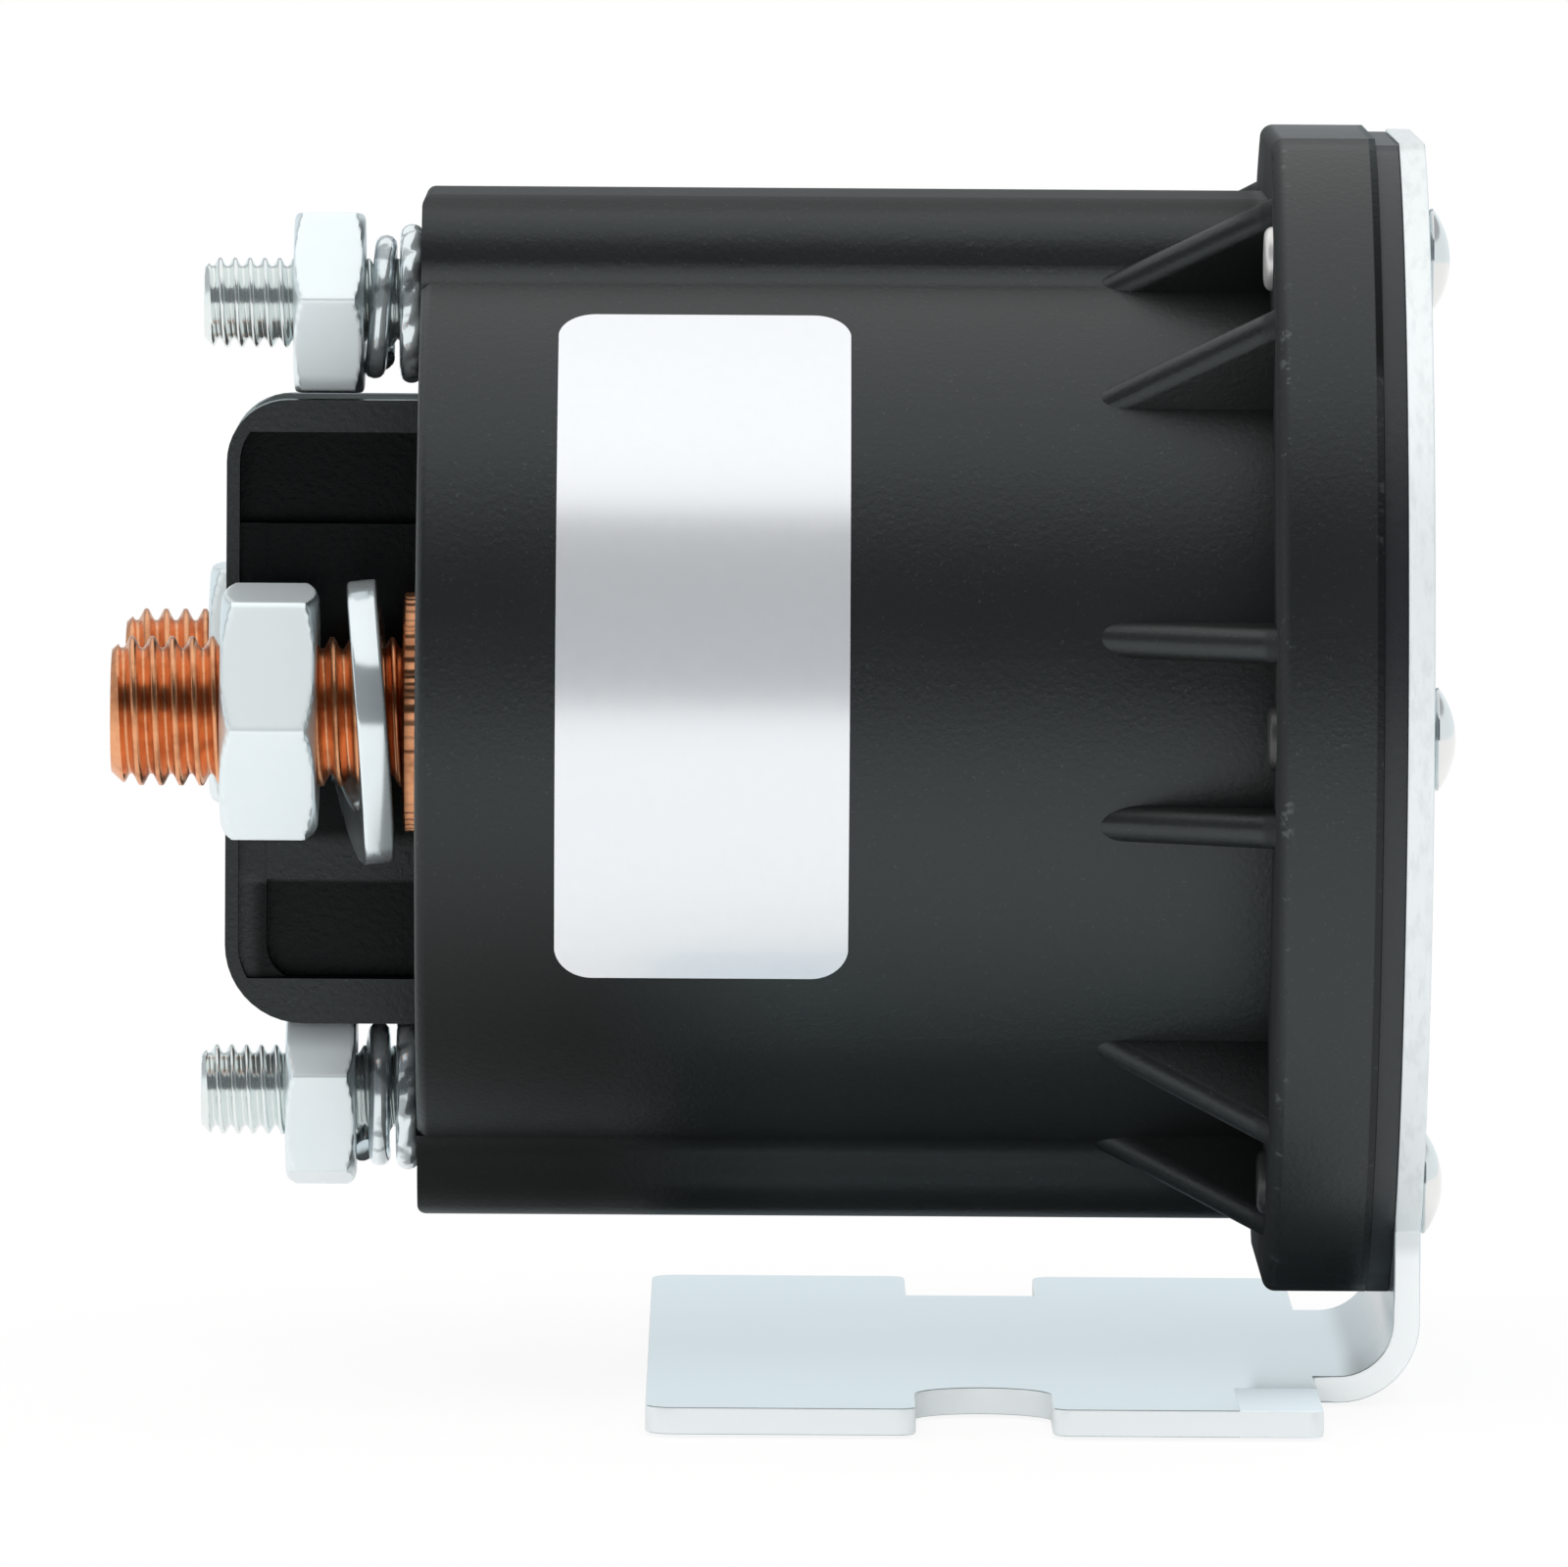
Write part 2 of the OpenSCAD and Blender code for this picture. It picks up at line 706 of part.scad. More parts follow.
// Hexagon nut with chamfered corners and bore, its inner face at z = 0, outwards to -z
module hex_nut(af, h, bore, turn) {
    corner = af / 2 / cos(30);
    flat_r = af / 2 * 0.94;
    drop = (corner - flat_r) * tan(31);
    sink = bore + 0.4;
    rotate([0, 0, turn]) difference() {
        intersection() {
            translate([0, 0, -h]) cylinder(r = corner, h = h, $fn = 6);
            rotate_extrude() polygon([
                [0, -h], [flat_r, -h], [corner, drop - h],
                [corner, -drop], [flat_r, 0], [0, 0]
            ]);
        }
        translate([0, 0, -h - cut]) cylinder(r = bore, h = h + 2 * cut);
        translate([0, 0, -0.4]) cylinder(r1 = bore, r2 = sink, h = 0.4);
        translate([0, 0, -h]) cylinder(r1 = sink, r2 = bore, h = 0.4);
    }
}

// Split lock washer that hangs on its stud, leaning, its middle at z = 0
module split_washer(r_out, r_in, t, lean, nod, split_at) {
    slit = t * 0.55;
    rotate([lean, nod, 0]) difference() {
        ring(r_out, r_in, -t / 2, t);
        rotate([0, 0, split_at]) translate([(r_out + r_in) / 2, 0, 0]) rotate([25, 0, 0])
            cube([2 * (r_out - r_in), slit, 4 * t], center = true);
    }
}

// Toothed washer: a flat ring with twisted teeth around it
module tooth_washer() {
    mid_r = tooth_washer_r - 0.9;
    tooth = [2 * (tooth_washer_r - mid_r), 1.1, tooth_washer_t];
    ring(mid_r, coil_stud_r + loose, -tooth_stack / 2 - tooth_washer_t / 2, tooth_washer_t);
    translate([0, 0, -tooth_stack / 2])
        for (i = [0 : tooth_washer_count - 1])
            rotate([0, 0, i * 360 / tooth_washer_count])
                translate([tooth_washer_r - tooth[0] / 2, 0, 0]) rotate([tooth_twist, 0, 0])
                cube(tooth, center = true);
}

module at_power(side) {
    on_axis() translate([0, side * power_pitch / 2, 0]) children();
}

module at_coil(side) {
    on_axis() translate([side * coil_stud_z, 0, 0]) children();
}

module power_stud(side, nut_gap) {
    color("#b8683a") at_power(side)
        stud(power_out, power_r, power_mesh_r, power_tip, nut_gap, power_nut_h,
            power_head_r, power_head_t);
}

module power_collar(side) {
    color("#b8683a") at_power(side) ring(collar_r, power_r + snug, -collar_t, collar_t);
}

// The washer's hole rests on the top of its stud
module power_lock_washer(side, nut_gap, lean, split_at) {
    middle = -(collar_t + nut_gap) / 2;
    color("#c4ccd2") at_power(side) translate([-power_washer_play + 0.08, 0, middle])
        split_washer(power_washer_r, power_r + power_washer_play, power_washer_t, lean,
            power_washer_nod, split_at);
}

module power_nut(side, nut_gap, turn) {
    color("#d3dade") at_power(side) translate([0, 0, -nut_gap])
        hex_nut(power_nut_af, power_nut_h, power_mesh_r + snug, turn);
}

module coil_stud(side, nut_gap) {
    color("#cfd6d8") at_coil(side)
        stud(coil_stud_out, coil_stud_r, coil_mesh_r, coil_tip, nut_gap, coil_nut_h,
            coil_head_r, coil_head_t);
}

module coil_tooth_washer(side) {
    color("#c4cbce") at_coil(side) tooth_washer();
}

module coil_lock_washer(side, nut_gap, lean, split_at) {
    middle = -(tooth_stack + nut_gap) / 2;
    color("#c4cbce") at_coil(side) translate([-coil_washer_play + 0.06, 0, middle])
        split_washer(coil_washer_r, coil_stud_r + coil_washer_play, coil_washer_t, lean,
            0, split_at);
}

module coil_nut(side, nut_gap, turn) {
    color("#d3dade") at_coil(side) translate([0, 0, -nut_gap])
        hex_nut(coil_nut_af, coil_nut_h, coil_mesh_r + snug, turn);
}

module contact_bridge() {
    color("#b8683a") on_axis() ring(bridge_r, rod_r + 4 * loose, bridge_front, bridge_t);
}

module bridge_washer(z) {
    color("#8c3b24") on_axis() ring(bush_r, rod_r + loose, z, bush_t);
}

// Open spring clip in the rod's groove
module retaining_clip() {
    mouth = 2 * groove_r;
    color("#9aa0a3") on_axis() difference() {
        ring(clip_r, groove_r + snug, clip_front, clip_t);
        translate([0, -mouth / 2, clip_front - cut]) cube([clip_r + cut, mouth, clip_t + 2 * cut]);
    }
}

// Rod with a clip groove at its nose and a collar that carries the contact spring
module push_rod() {
    collar = bush_r - 0.3;
    nose = 0.3;
    color("#b9b08a") on_axis() rotate_extrude() polygon([
        [0, rod_front], [rod_r - nose, rod_front], [rod_r, rod_front + nose],
        [rod_r, clip_front], [groove_r, clip_front], [groove_r, clip_back],
        [rod_r, clip_back], [rod_r, spring_back], [collar, spring_back],
        [collar, spring_back + rod_collar_t], [rod_r, spring_back + rod_collar_t],
        [rod_r, rod_back], [0, rod_back]
    ]);
}

module plunger() {
    bevel = 0.6;
    color("#8f9699") on_axis() difference() {
        rotate_extrude() polygon([
            [0, plunger_front], [plunger_r - bevel, plunger_front],
            [plunger_r, plunger_front + bevel], [plunger_r, plunger_back - bevel],
            [plunger_r - bevel, plunger_back], [0, plunger_back]
        ]);
        translate([0, 0, plunger_front - cut])
            cylinder(r = rod_r + snug, h = rod_seat + cut + snug);
    }
}

module fixed_core() {
    color("#8f9699") on_axis() difference() {
        union() {
            translate([0, 0, ledge_z]) cylinder(r = spigot_r, h = yoke_plate_t);
            translate([0, 0, yoke_back]) cylinder(r = core_r, h = core_len);
        }
        translate([0, 0, ledge_z - cut])
            cylinder(r = rod_r + 2 * loose, h = yoke_plate_t + core_len + 2 * cut);
        translate([0, 0, core_back - spring_pocket])
            cylinder(r = spring_pocket_r, h = spring_pocket + cut);
    }
}

module yoke_plate() {
    color("#8f9699") on_axis() ring(cup_r, spigot_r + snug, ledge_z, yoke_plate_t);
}

// Drawn steel cup around the coil, slotted at the front rim for the two leads
module yoke_cup() {
    slot_end = lead_turn + 2 * lead_r + loose;
    color("#8f9699") on_axis() difference() {
        translate([0, 0, yoke_back]) cylinder(r = cup_r, h = cover_len - yoke_back);
        translate([0, 0, yoke_back - cut]) cylinder(r = cup_in_r, h = floor_z - yoke_back + cut);
        translate([-body_r, -slot_w / 2, yoke_back - cut])
            cube([2 * body_r, slot_w, slot_end - yoke_back + cut]);
    }
}

module coil_bobbin() {
    color("#d9d2bd") on_axis() {
        ring(tube_r, bore_r, yoke_back, floor_z - yoke_back);
        ring(bobbin_r, bore_r, yoke_back, bobbin_flange_t);
        ring(bobbin_r, bore_r, floor_z - bobbin_flange_t, bobbin_flange_t);
    }
}

module coil_winding() {
    first = yoke_back + bobbin_flange_t;
    last = floor_z - bobbin_flange_t;
    color("#a5502c") on_axis() ring(winding_r, tube_r, first, last - first);
}

// Wire from the coil's side, out through the cup's slot and forward to the stud's head
module coil_lead(side) {
    start = front_wall + coil_head_t;
    color("#a5502c") on_axis() scale_up(side) {
        translate([lead_z, 0, start])
            cylinder(r = lead_r, h = lead_turn - lead_bend_r - start);
        translate([lead_z - lead_bend_r, 0, lead_turn - lead_bend_r]) rotate([90, 0, 0])
            rotate_extrude(angle = 90) translate([lead_bend_r, 0]) circle(lead_r);
        translate([winding_r, 0, lead_turn]) rotate([0, 90, 0])
            cylinder(r = lead_r, h = lead_z - lead_bend_r - winding_r);
    }
}

// Mirrors what is drawn above the axis to below it for side -1
module scale_up(side) {
    mirror([side < 0 ? 1 : 0, 0, 0]) children();
}

// Round wire helix with closed ends between z and z + len
module helix(mean_r, wire_r, z, len, turns) {
    sides = 8;
    per_turn = 18;
    flat = 0.75;
    steps = round(turns * per_turn);
    lift = len - 2 * wire_r;
    closed = 2 * wire_r * flat;
    function rise(t) =
        t < flat ? 2 * wire_r * t
        : t > turns - flat ? lift - 2 * wire_r * (turns - t)
        : closed + (lift - 2 * closed) * (t - flat) / (turns - 2 * flat);
    points = [for (i = [0 : steps], j = [0 : sides - 1])
        let (t = i * turns / steps, a = 360 * t, b = 360 * j / sides,
            rr = mean_r + wire_r * cos(b))
        [rr * cos(a), rr * sin(a), z + wire_r + rise(t) + wire_r * sin(b)]];
    skin = [for (i = [0 : steps - 1], j = [0 : sides - 1])
        let (k = (j + 1) % sides, p = i * sides)
        [p + j, p + sides + j, p + sides + k, p + k]];
    ends = [
        [for (j = [0 : sides - 1]) j],
        [for (j = [0 : sides - 1]) steps * sides + sides - 1 - j]
    ];
    polyhedron(points, concat(skin, ends), convexity = 10);
}

module contact_spring() {
    wire_r = 0.35;
    color("#b5babd") on_axis()
        helix(rod_r + 2 * loose + 2 * wire_r, wire_r, spring_front, contact_spring_len, 4);
}

module return_spring() {
    wire_r = 0.35;
    seat = core_back - spring_pocket;
    color("#b5babd") on_axis()
        helix(spring_pocket_r - 3 * loose - wire_r, wire_r, seat, plunger_front - seat, 6);
}

housing_cover();
base_gasket();
mounting_bracket();
label_foil();
rivet(1);  // rivet_1
rivet(2);  // rivet_2
rivet(3);  // rivet_3
rivet(4);  // rivet_4
rivet(5);  // rivet_5
rivet(6);  // rivet_6
power_stud(1, power_nut_gap_right);  // power_stud_right
power_stud(-1, power_nut_gap_left);  // power_stud_left
power_collar(1);  // power_collar_right
power_collar(-1);  // power_collar_left
power_lock_washer(1, power_nut_gap_right, power_washer_lean, power_split_right);  // power_lock_washer_right
power_lock_washer(-1, power_nut_gap_left, -power_washer_lean, power_split_left);  // power_lock_washer_left
power_nut(1, power_nut_gap_right, power_nut_turn_right);  // power_nut_right
power_nut(-1, power_nut_gap_left, power_nut_turn_left);  // power_nut_left
coil_stud(1, coil_nut_gap_upper);  // coil_stud_upper
coil_stud(-1, coil_nut_gap_lower);  // coil_stud_lower
coil_tooth_washer(1);  // coil_tooth_washer_upper
coil_tooth_washer(-1);  // coil_tooth_washer_lower
coil_lock_washer(1, coil_nut_gap_upper, coil_washer_lean, coil_split_upper);  // coil_lock_washer_upper
coil_lock_washer(-1, coil_nut_gap_lower, coil_washer_lean, coil_split_lower);  // coil_lock_washer_lower
coil_nut(1, coil_nut_gap_upper, coil_nut_turn_upper);  // coil_nut_upper
coil_nut(-1, coil_nut_gap_lower, coil_nut_turn_lower);  // coil_nut_lower
contact_bridge();
bridge_washer(clip_back);  // bridge_washer_front
bridge_washer(bridge_back);  // bridge_washer_rear
retaining_clip();
contact_spring();
push_rod();
plunger();
return_spring();
fixed_core();
yoke_plate();
yoke_cup();
coil_bobbin();
coil_winding();
coil_lead(1);  // coil_lead_upper
coil_lead(-1);  // coil_lead_lower
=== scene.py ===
"""Looks of the four-terminal solenoid relay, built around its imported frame."""

import json
import math
import random

import bmesh
import bpy
from mathutils import Matrix, Vector


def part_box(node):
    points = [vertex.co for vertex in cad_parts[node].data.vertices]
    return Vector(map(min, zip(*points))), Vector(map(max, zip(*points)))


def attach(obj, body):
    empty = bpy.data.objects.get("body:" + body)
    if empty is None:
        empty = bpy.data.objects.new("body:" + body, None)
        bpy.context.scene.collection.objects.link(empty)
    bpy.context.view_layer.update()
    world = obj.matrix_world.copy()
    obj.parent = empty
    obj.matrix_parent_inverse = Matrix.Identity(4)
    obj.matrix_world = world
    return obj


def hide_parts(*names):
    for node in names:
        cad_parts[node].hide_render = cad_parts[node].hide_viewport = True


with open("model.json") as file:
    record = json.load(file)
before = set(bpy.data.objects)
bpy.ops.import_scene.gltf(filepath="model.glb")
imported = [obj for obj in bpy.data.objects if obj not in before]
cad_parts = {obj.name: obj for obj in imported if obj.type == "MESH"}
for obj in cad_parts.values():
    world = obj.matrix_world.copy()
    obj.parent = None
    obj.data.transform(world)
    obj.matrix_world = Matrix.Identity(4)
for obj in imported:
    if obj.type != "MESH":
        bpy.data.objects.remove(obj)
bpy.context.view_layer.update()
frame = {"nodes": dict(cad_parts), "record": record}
NODES = frame["nodes"]
MM = 0.001

# Where the solenoid's axis and its front face lie, from the frame itself
HOUSING_LOW, HOUSING_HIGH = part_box("housing_cover")
COLLAR_LOW, COLLAR_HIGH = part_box("power_collar_right")
FACE_X = COLLAR_HIGH.x
AXIS_Z = (COLLAR_LOW.z + COLLAR_HIGH.z) / 2

TAU = 2 * math.pi

# The flange's edges, from the frame and the housing's own proportions
FLANGE_R = (HOUSING_HIGH.y - HOUSING_LOW.y) / 2
FLANGE_BACK = HOUSING_HIGH.x
FLANGE_FRONT = FLANGE_BACK - 5.5 * MM

# Where the housing's finish and painted shade change, in metres. Each pair, here
# and below, is where a change starts and where it is complete
FACE_EDGE = (FACE_X - 0.0004, FACE_X)                     # barrier to body
WALL_SIDE = (0.0039, 0.0041)                              # off the barrier's middle
# painted shade in the barrier's pockets deepens above BLOCK_TOP, and is lifted on the pale strip
# in front of RECESS_END below the block and on the band between BAND_FOOT and BAND_TOP
BLOCK_TOP = (AXIS_Z - 0.010, AXIS_Z - 0.009)              # low recess to stud recess
RECESS_END = (-0.0392, -0.0382)                           # pale strip to dark recess
BAND_FOOT = (AXIS_Z - 0.0099, AXIS_Z - 0.0096)            # pale band over the block
BAND_TOP = (AXIS_Z - 0.0078, AXIS_Z - 0.0068)
# painted shade on the body's low side, below LOW_SIDE_TOP and in front of LOW_SIDE_BACK, where
# the body above shades it
LOW_SIDE_TOP = (0.016, 0.036)                             # the body's dark low side
LOW_SIDE_BACK = (-0.022, -0.008)
# painted shadow in the gap between the flange and the gasket, darkest on its upper stretch
GASKET_JOINT = (FLANGE_BACK - 0.0004, FLANGE_BACK - 0.0003)
JOINT_TOP = (0.0535, 0.056)                               # the joint's darkest stretch
CROWN = (AXIS_Z + 0.026, AXIS_Z + 0.027)                  # the upper lobe's dull top
BODY_END = (FLANGE_FRONT - 0.001, FLANGE_FRONT)
FLANGE_FACE_DEPTH = (0.0004, 0.0008)                      # off the flange's front
FLANGE_RIM = (FLANGE_R - 0.0005, FLANGE_R - 0.0002)
NEAR_EDGE = (0.0001, 0.0005)                              # off a flange edge

# Where the bracket's finish and its painted light and shade change
UPRIGHT_FOOT = (0.0016, 0.006)                            # foot to upright plate
# the bend; its inside is painted grey as shade, and is a little rougher
BEND_START = (0.0188, 0.0202)
BEND_END = (0.0219, 0.0222)
# the foot's near corner under the flange: satin, and painted paler to lift the flange's shade
CORNER_START = (0.01320, 0.01323)                         # the foot's near corner
CORNER_SIDE = (0.02440, 0.02443)
FOOT_TOP = (0.002, 0.003)
# the neck's sheared edges low down, painted paler to lift the plate's shade
NECK_SIDE = (0.0183, 0.0187)                              # off the neck's middle
NECK_TOP = (0.0075, 0.0085)
SHEAR_MARKS_FOOT = (0.008, 0.012)                         # marks only above this

# Where the washers' dark spots, the rivets' two finishes and the tails' painted shade start
SPOTS_OFF_AXIS = (0.012, 0.015)
RIVET_HEAD = (FLANGE_BACK, FLANGE_BACK + 0.001)
DARK_TAIL_TOP = (0.045, 0.047)


# Materials

class Value:
    """A shader socket. Arithmetic on it adds Math nodes."""

    def __init__(self, build, socket):
        self.build = build
        self.socket = socket

    def _op(self, operation, a, b):
        return self.build.node("Math", {"operation": operation}, {0: a, 1: b})

    def __add__(self, other):
        return self._op("ADD", self, other)

    def __radd__(self, other):
        return self._op("ADD", other, self)

    def __sub__(self, other):
        return self._op("SUBTRACT", self, other)

    def __rsub__(self, other):
        return self._op("SUBTRACT", other, self)

    def __mul__(self, other):
        return self._op("MULTIPLY", self, other)

    def __rmul__(self, other):
        return self._op("MULTIPLY", other, self)

    def __abs__(self):
        return self.build.node("Math", {"operation": "ABSOLUTE"}, {0: self})


class Build:
    """A node tree that is written as expressions."""

    def __init__(self, tree):
        self.tree = tree
        tree.nodes.clear()

    def node(self, kind, settings=None, inputs=None, out=0):
        """Any node: its type, its settings, and the values or links of its sockets."""
        made = self.tree.nodes.new("ShaderNode" + kind)
        for key, value in (settings or {}).items():
            setattr(made, key, value)
        for key, value in (inputs or {}).items():
            if isinstance(value, Value):
                self.tree.links.new(value.socket, made.inputs[key])
            else:
                made.inputs[key].default_value = value
        return Value(self, made.outputs[out]) if len(made.outputs) else None

    def place(self):
        """The place in the row's frame, in metres."""
        return self.node("TexCoord", out="Object")

    def coordinate(self, index):
        """The place along one axis: 0 is X, 1 is Y and 2 is Z."""
        return self.node("SeparateXYZ", None, {0: self.place()}, out=index)

    def facing(self, index):
        """How far the surface's normal lies along one axis, 0 to 1."""
        normal = self.node("TexCoord", out="Normal")
        return abs(self.node("SeparateXYZ", None, {0: normal}, out=index))

    def noise(self, scale, detail=2.0, rough=0.5, where=None):
        """Noise from 0 to 1, over the place unless where is given."""
        return self.node("TexNoise", None, {
            "Vector": where or self.place(), "Scale": scale,
            "Detail": detail, "Roughness": rough})

    def stretch(self, sx, sy, sz):
        """The place with a scale for each axis, for a noise with a grain."""
        return self.node("VectorMath", {"operation": "MULTIPLY"},
                         {0: self.place(), 1: (sx, sy, sz)})

    def between(self, value, low, high):
        """0 below low, 1 above high, smooth between them."""
        return self.node("MapRange", {"interpolation_type": "SMOOTHSTEP"},
                         {"Value": value, "From Min": low, "From Max": high})

    def mix(self, factor, a, b):
        """Colour a where the factor is 0 and colour b where it is 1."""
        made = self.node("Mix", {"data_type": "RGBA"}, {0: factor}, out=2)
        ends = made.socket.node.inputs
        for socket, value in ((ends[6], a), (ends[7], b)):
            if isinstance(value, Value):
                self.tree.links.new(value.socket, socket)
            else:
                socket.default_value = (*value, 1)
        return made

    def flange_edge(self):
        """1 along the flange's front and rear outer edges, 0 elsewhere."""
        along, y, z = self.coordinate(0), self.coordinate(1), self.coordinate(2) - AXIS_Z
        far = self.node("Math", {"operation": "SQRT"}, {0: y * y + z * z})
        front = abs(along - (FLANGE_FRONT + 0.0005))
        back = abs(along - FLANGE_BACK)
        edges = (1 - self.between(front, *NEAR_EDGE)) + (1 - self.between(back, *NEAR_EDGE))
        return self.between(far, *FLANGE_RIM) * edges

    def bump(self, height, strength, distance):
        """A normal bent by a height. distance is how far in metres a height of 1 is."""
        return self.node("Bump", None, {
            "Height": height, "Strength": strength, "Distance": distance})


def finish(name, draw):
    """A material whose Principled sockets are what draw(build) returns."""
    material = bpy.data.materials.new(name)
    material.use_nodes = True
    build = Build(material.node_tree)
    shader = build.node("BsdfPrincipled", None, draw(build))
    build.node("OutputMaterial", None, {"Surface": shader})
    return material


def moulded(build):
    """Black filled moulding: fine grain, faint specks and nicked flange edges. The
    barrier's pockets, the low side and the joint with the gasket get painted shade, and
    the flange's front and the body's crown are duller."""
    along, height = build.coordinate(0), build.coordinate(2)
    inside = abs(build.coordinate(1))
    grain = build.noise(3000, 3.0, 0.6)
    cloud = build.noise(90, 2.0)
    speck = build.between(build.noise(6000, 1.0), 0.68, 0.76)
    nick = build.flange_edge() * build.between(build.noise(800, 3.0, 0.7), 0.6, 0.68)

    barrier = 1 - build.between(along, *FACE_EDGE)
    pocket = barrier * (1 - build.between(inside, *WALL_SIDE))
    above_block = build.between(height, *BLOCK_TOP)
    # painted shade on the body's low side
    low_side = ((1 - barrier) * (1 - build.between(height, *LOW_SIDE_TOP))
                * (1 - build.between(along, *LOW_SIDE_BACK)))
    # painted shadow in the gap between the flange and the gasket
    joint = (build.between(along, *GASKET_JOINT)
             * (0.45 + build.between(height, *JOINT_TOP) * 0.5))
    pale = ((1 - build.between(along, *RECESS_END)) * (1 - above_block)
            + build.between(height, *BAND_FOOT) * (1 - build.between(height, *BAND_TOP)))
    # painted shade: the barrier's pockets, the body's low side and the joint with the gasket are
    # painted near black through the colour and the metallic, where shade falls; pale takes some
    # of it off in the pockets
    dark = (pocket * (0.85 + above_block * 0.1) * (1 - pale * 0.75)
            + low_side * 0.8 + joint)

    on_front = abs(along - FLANGE_FRONT)
    dull = (build.facing(0) * (1 - build.between(on_front, *FLANGE_FACE_DEPTH))
            + build.between(height, *CROWN) * (1 - build.between(along, *BODY_END)) * 0.6)

    # the moulding's own colour, varied at random by cloud noise
    shade = build.mix(cloud, (0.0063, 0.0072, 0.0073), (0.0094, 0.0105, 0.0106))
    colour = build.mix(speck * 0.35, shade, (0.055, 0.06, 0.065))
    colour = build.mix(nick * 0.5, colour, (0.08, 0.09, 0.09))
    # the painted shade, mixed in as a near-black colour
    colour = build.mix(dark, colour, (0.002, 0.0024, 0.0026))
    return {"Base Color": colour, "Metallic": dark * 0.85,
            "Roughness": 0.38 + cloud * 0.07 - speck * 0.08 - pocket * 0.1 + dull * 0.5,
            "Normal": build.bump(grain, 0.3, 0.00009), "Specular IOR Level": 0.69,
            "Specular Tint": (0.9, 0.985, 0.985, 1)}


def board(build):
    """Black gasket board."""
    fibre = build.noise(1500, 4.0, 0.7)
    return {"Base Color": build.mix(fibre, (0.007, 0.0085, 0.0095), (0.016, 0.018, 0.0195)),
            "Roughness": 0.42, "Normal": build.bump(fibre, 0.25, 0.0001),
            "Specular IOR Level": 0.68, "Specular Tint": (0.92, 0.985, 1.0, 1)}


def plated(tone, dull, rough, metal, spotted=False):
    """Zinc plate: blue-white metal with faint clouds, more like a mirror on its ends.
    Where asked for, the pieces away from the axis have dark noise spots."""
    def draw(build):
        cloud = build.noise(260, 3.0, 0.6)
        scuff = build.between(build.noise(900, 4.0, 0.7), 0.58, 0.72) * 0.5
        colour = build.mix(cloud * 0.6, tone, dull)
        if spotted:
            # dark noise spots on the pieces away from the axis
            off_axis = abs(build.coordinate(2) - AXIS_Z)
            dark_spots = (build.between(build.noise(650, 2.0), 0.52, 0.62)
                     * build.between(off_axis, *SPOTS_OFF_AXIS))
            colour = build.mix(dark_spots * 0.6, colour, (0.1, 0.12, 0.13))
        end = build.between(build.facing(0), 0.4, 0.7) * (0.9 - metal)
        return {"Base Color": colour, "Metallic": metal + end,
                "Roughness": rough + cloud * 0.05 + scuff * 0.08}
    return draw


def sheared_zinc(build):
    """Bright zinc on the sheet's faces, and a paler, grainy finish on its sheared
    edges. The inside of the bend is painted grey as shade, the neck's edges low down
    are painted paler to lift shade, and the foot's near corner is satin and painted
    paler to lift the flange's shade."""
    along, side, height = build.coordinate(0), build.coordinate(1), build.coordinate(2)
    cloud = build.noise(160, 3.0, 0.6)
    grain = build.noise(1.0, 3.0, 0.6, where=build.stretch(2200, 700, 700))
    upright = build.between(height, *UPRIGHT_FOOT)
    flat = build.facing(2) * (1 - upright) + build.facing(0) * upright
    edge = 1 - build.between(flat, 0.3, 0.45)
    face = 1 - edge

    bend = build.between(along, *BEND_START) * (1 - build.between(along, *BEND_END))
    # the foot's near corner is satin, and its colour is painted paler to lift the flange's shade
    corner = (build.between(along, *CORNER_START) * build.between(0 - side, *CORNER_SIDE)
              * (1 - build.between(height, *FOOT_TOP)))
    face_tone = build.mix(cloud, (0.63, 0.73, 0.775), (0.6, 0.705, 0.75))
    # painted shade: the inside of the bend is painted grey
    face_tone = build.mix(bend * 0.7, face_tone, (0.41, 0.44, 0.46))
    face_tone = build.mix(corner, face_tone, (0.805, 0.918, 0.985))

    marks = build.between(grain, 0.45, 0.7) * build.between(height, *SHEAR_MARKS_FOOT)
    # painted light: the neck's sheared edges low down are painted paler, lifting the plate's
    # shade
    neck = ((1 - build.between(abs(side), *NECK_SIDE))
            * (1 - build.between(height, *NECK_TOP)))
    edge_tone = build.mix(marks * 0.35, (0.75, 0.79, 0.805), (0.55, 0.58, 0.6))
    edge_tone = build.mix(neck, edge_tone, (0.92, 0.95, 0.96))
    return {"Base Color": build.mix(edge, face_tone, edge_tone),
            "Metallic": face * (0.62 - corner * 0.62) + edge * 0.2,
            "Roughness": (face * (0.1 + bend * 0.1 + corner * 0.85)
                          + cloud * 0.03 + edge * 0.4)}


def riveted(build):
    """Polished rivet heads at the back, satin tails at the front, and painted shade on the tails
    below the top.
    """
    cloud = build.noise(400, 2.0)
    head = build.between(build.coordinate(0), *RIVET_HEAD)
    tone = build.mix(cloud, (0.86, 0.86, 0.85), (0.76, 0.76, 0.75))
    # painted shade: the tails below DARK_TAIL_TOP are painted near black
    low = (1 - head) * (1 - build.between(build.coordinate(2), *DARK_TAIL_TOP))
    return {"Base Color": build.mix(low * 0.93, tone, (0.02, 0.021, 0.021)),
            "Metallic": 0.6 + head * 0.4, "Roughness": 0.36 - head * 0.25 + cloud * 0.04}


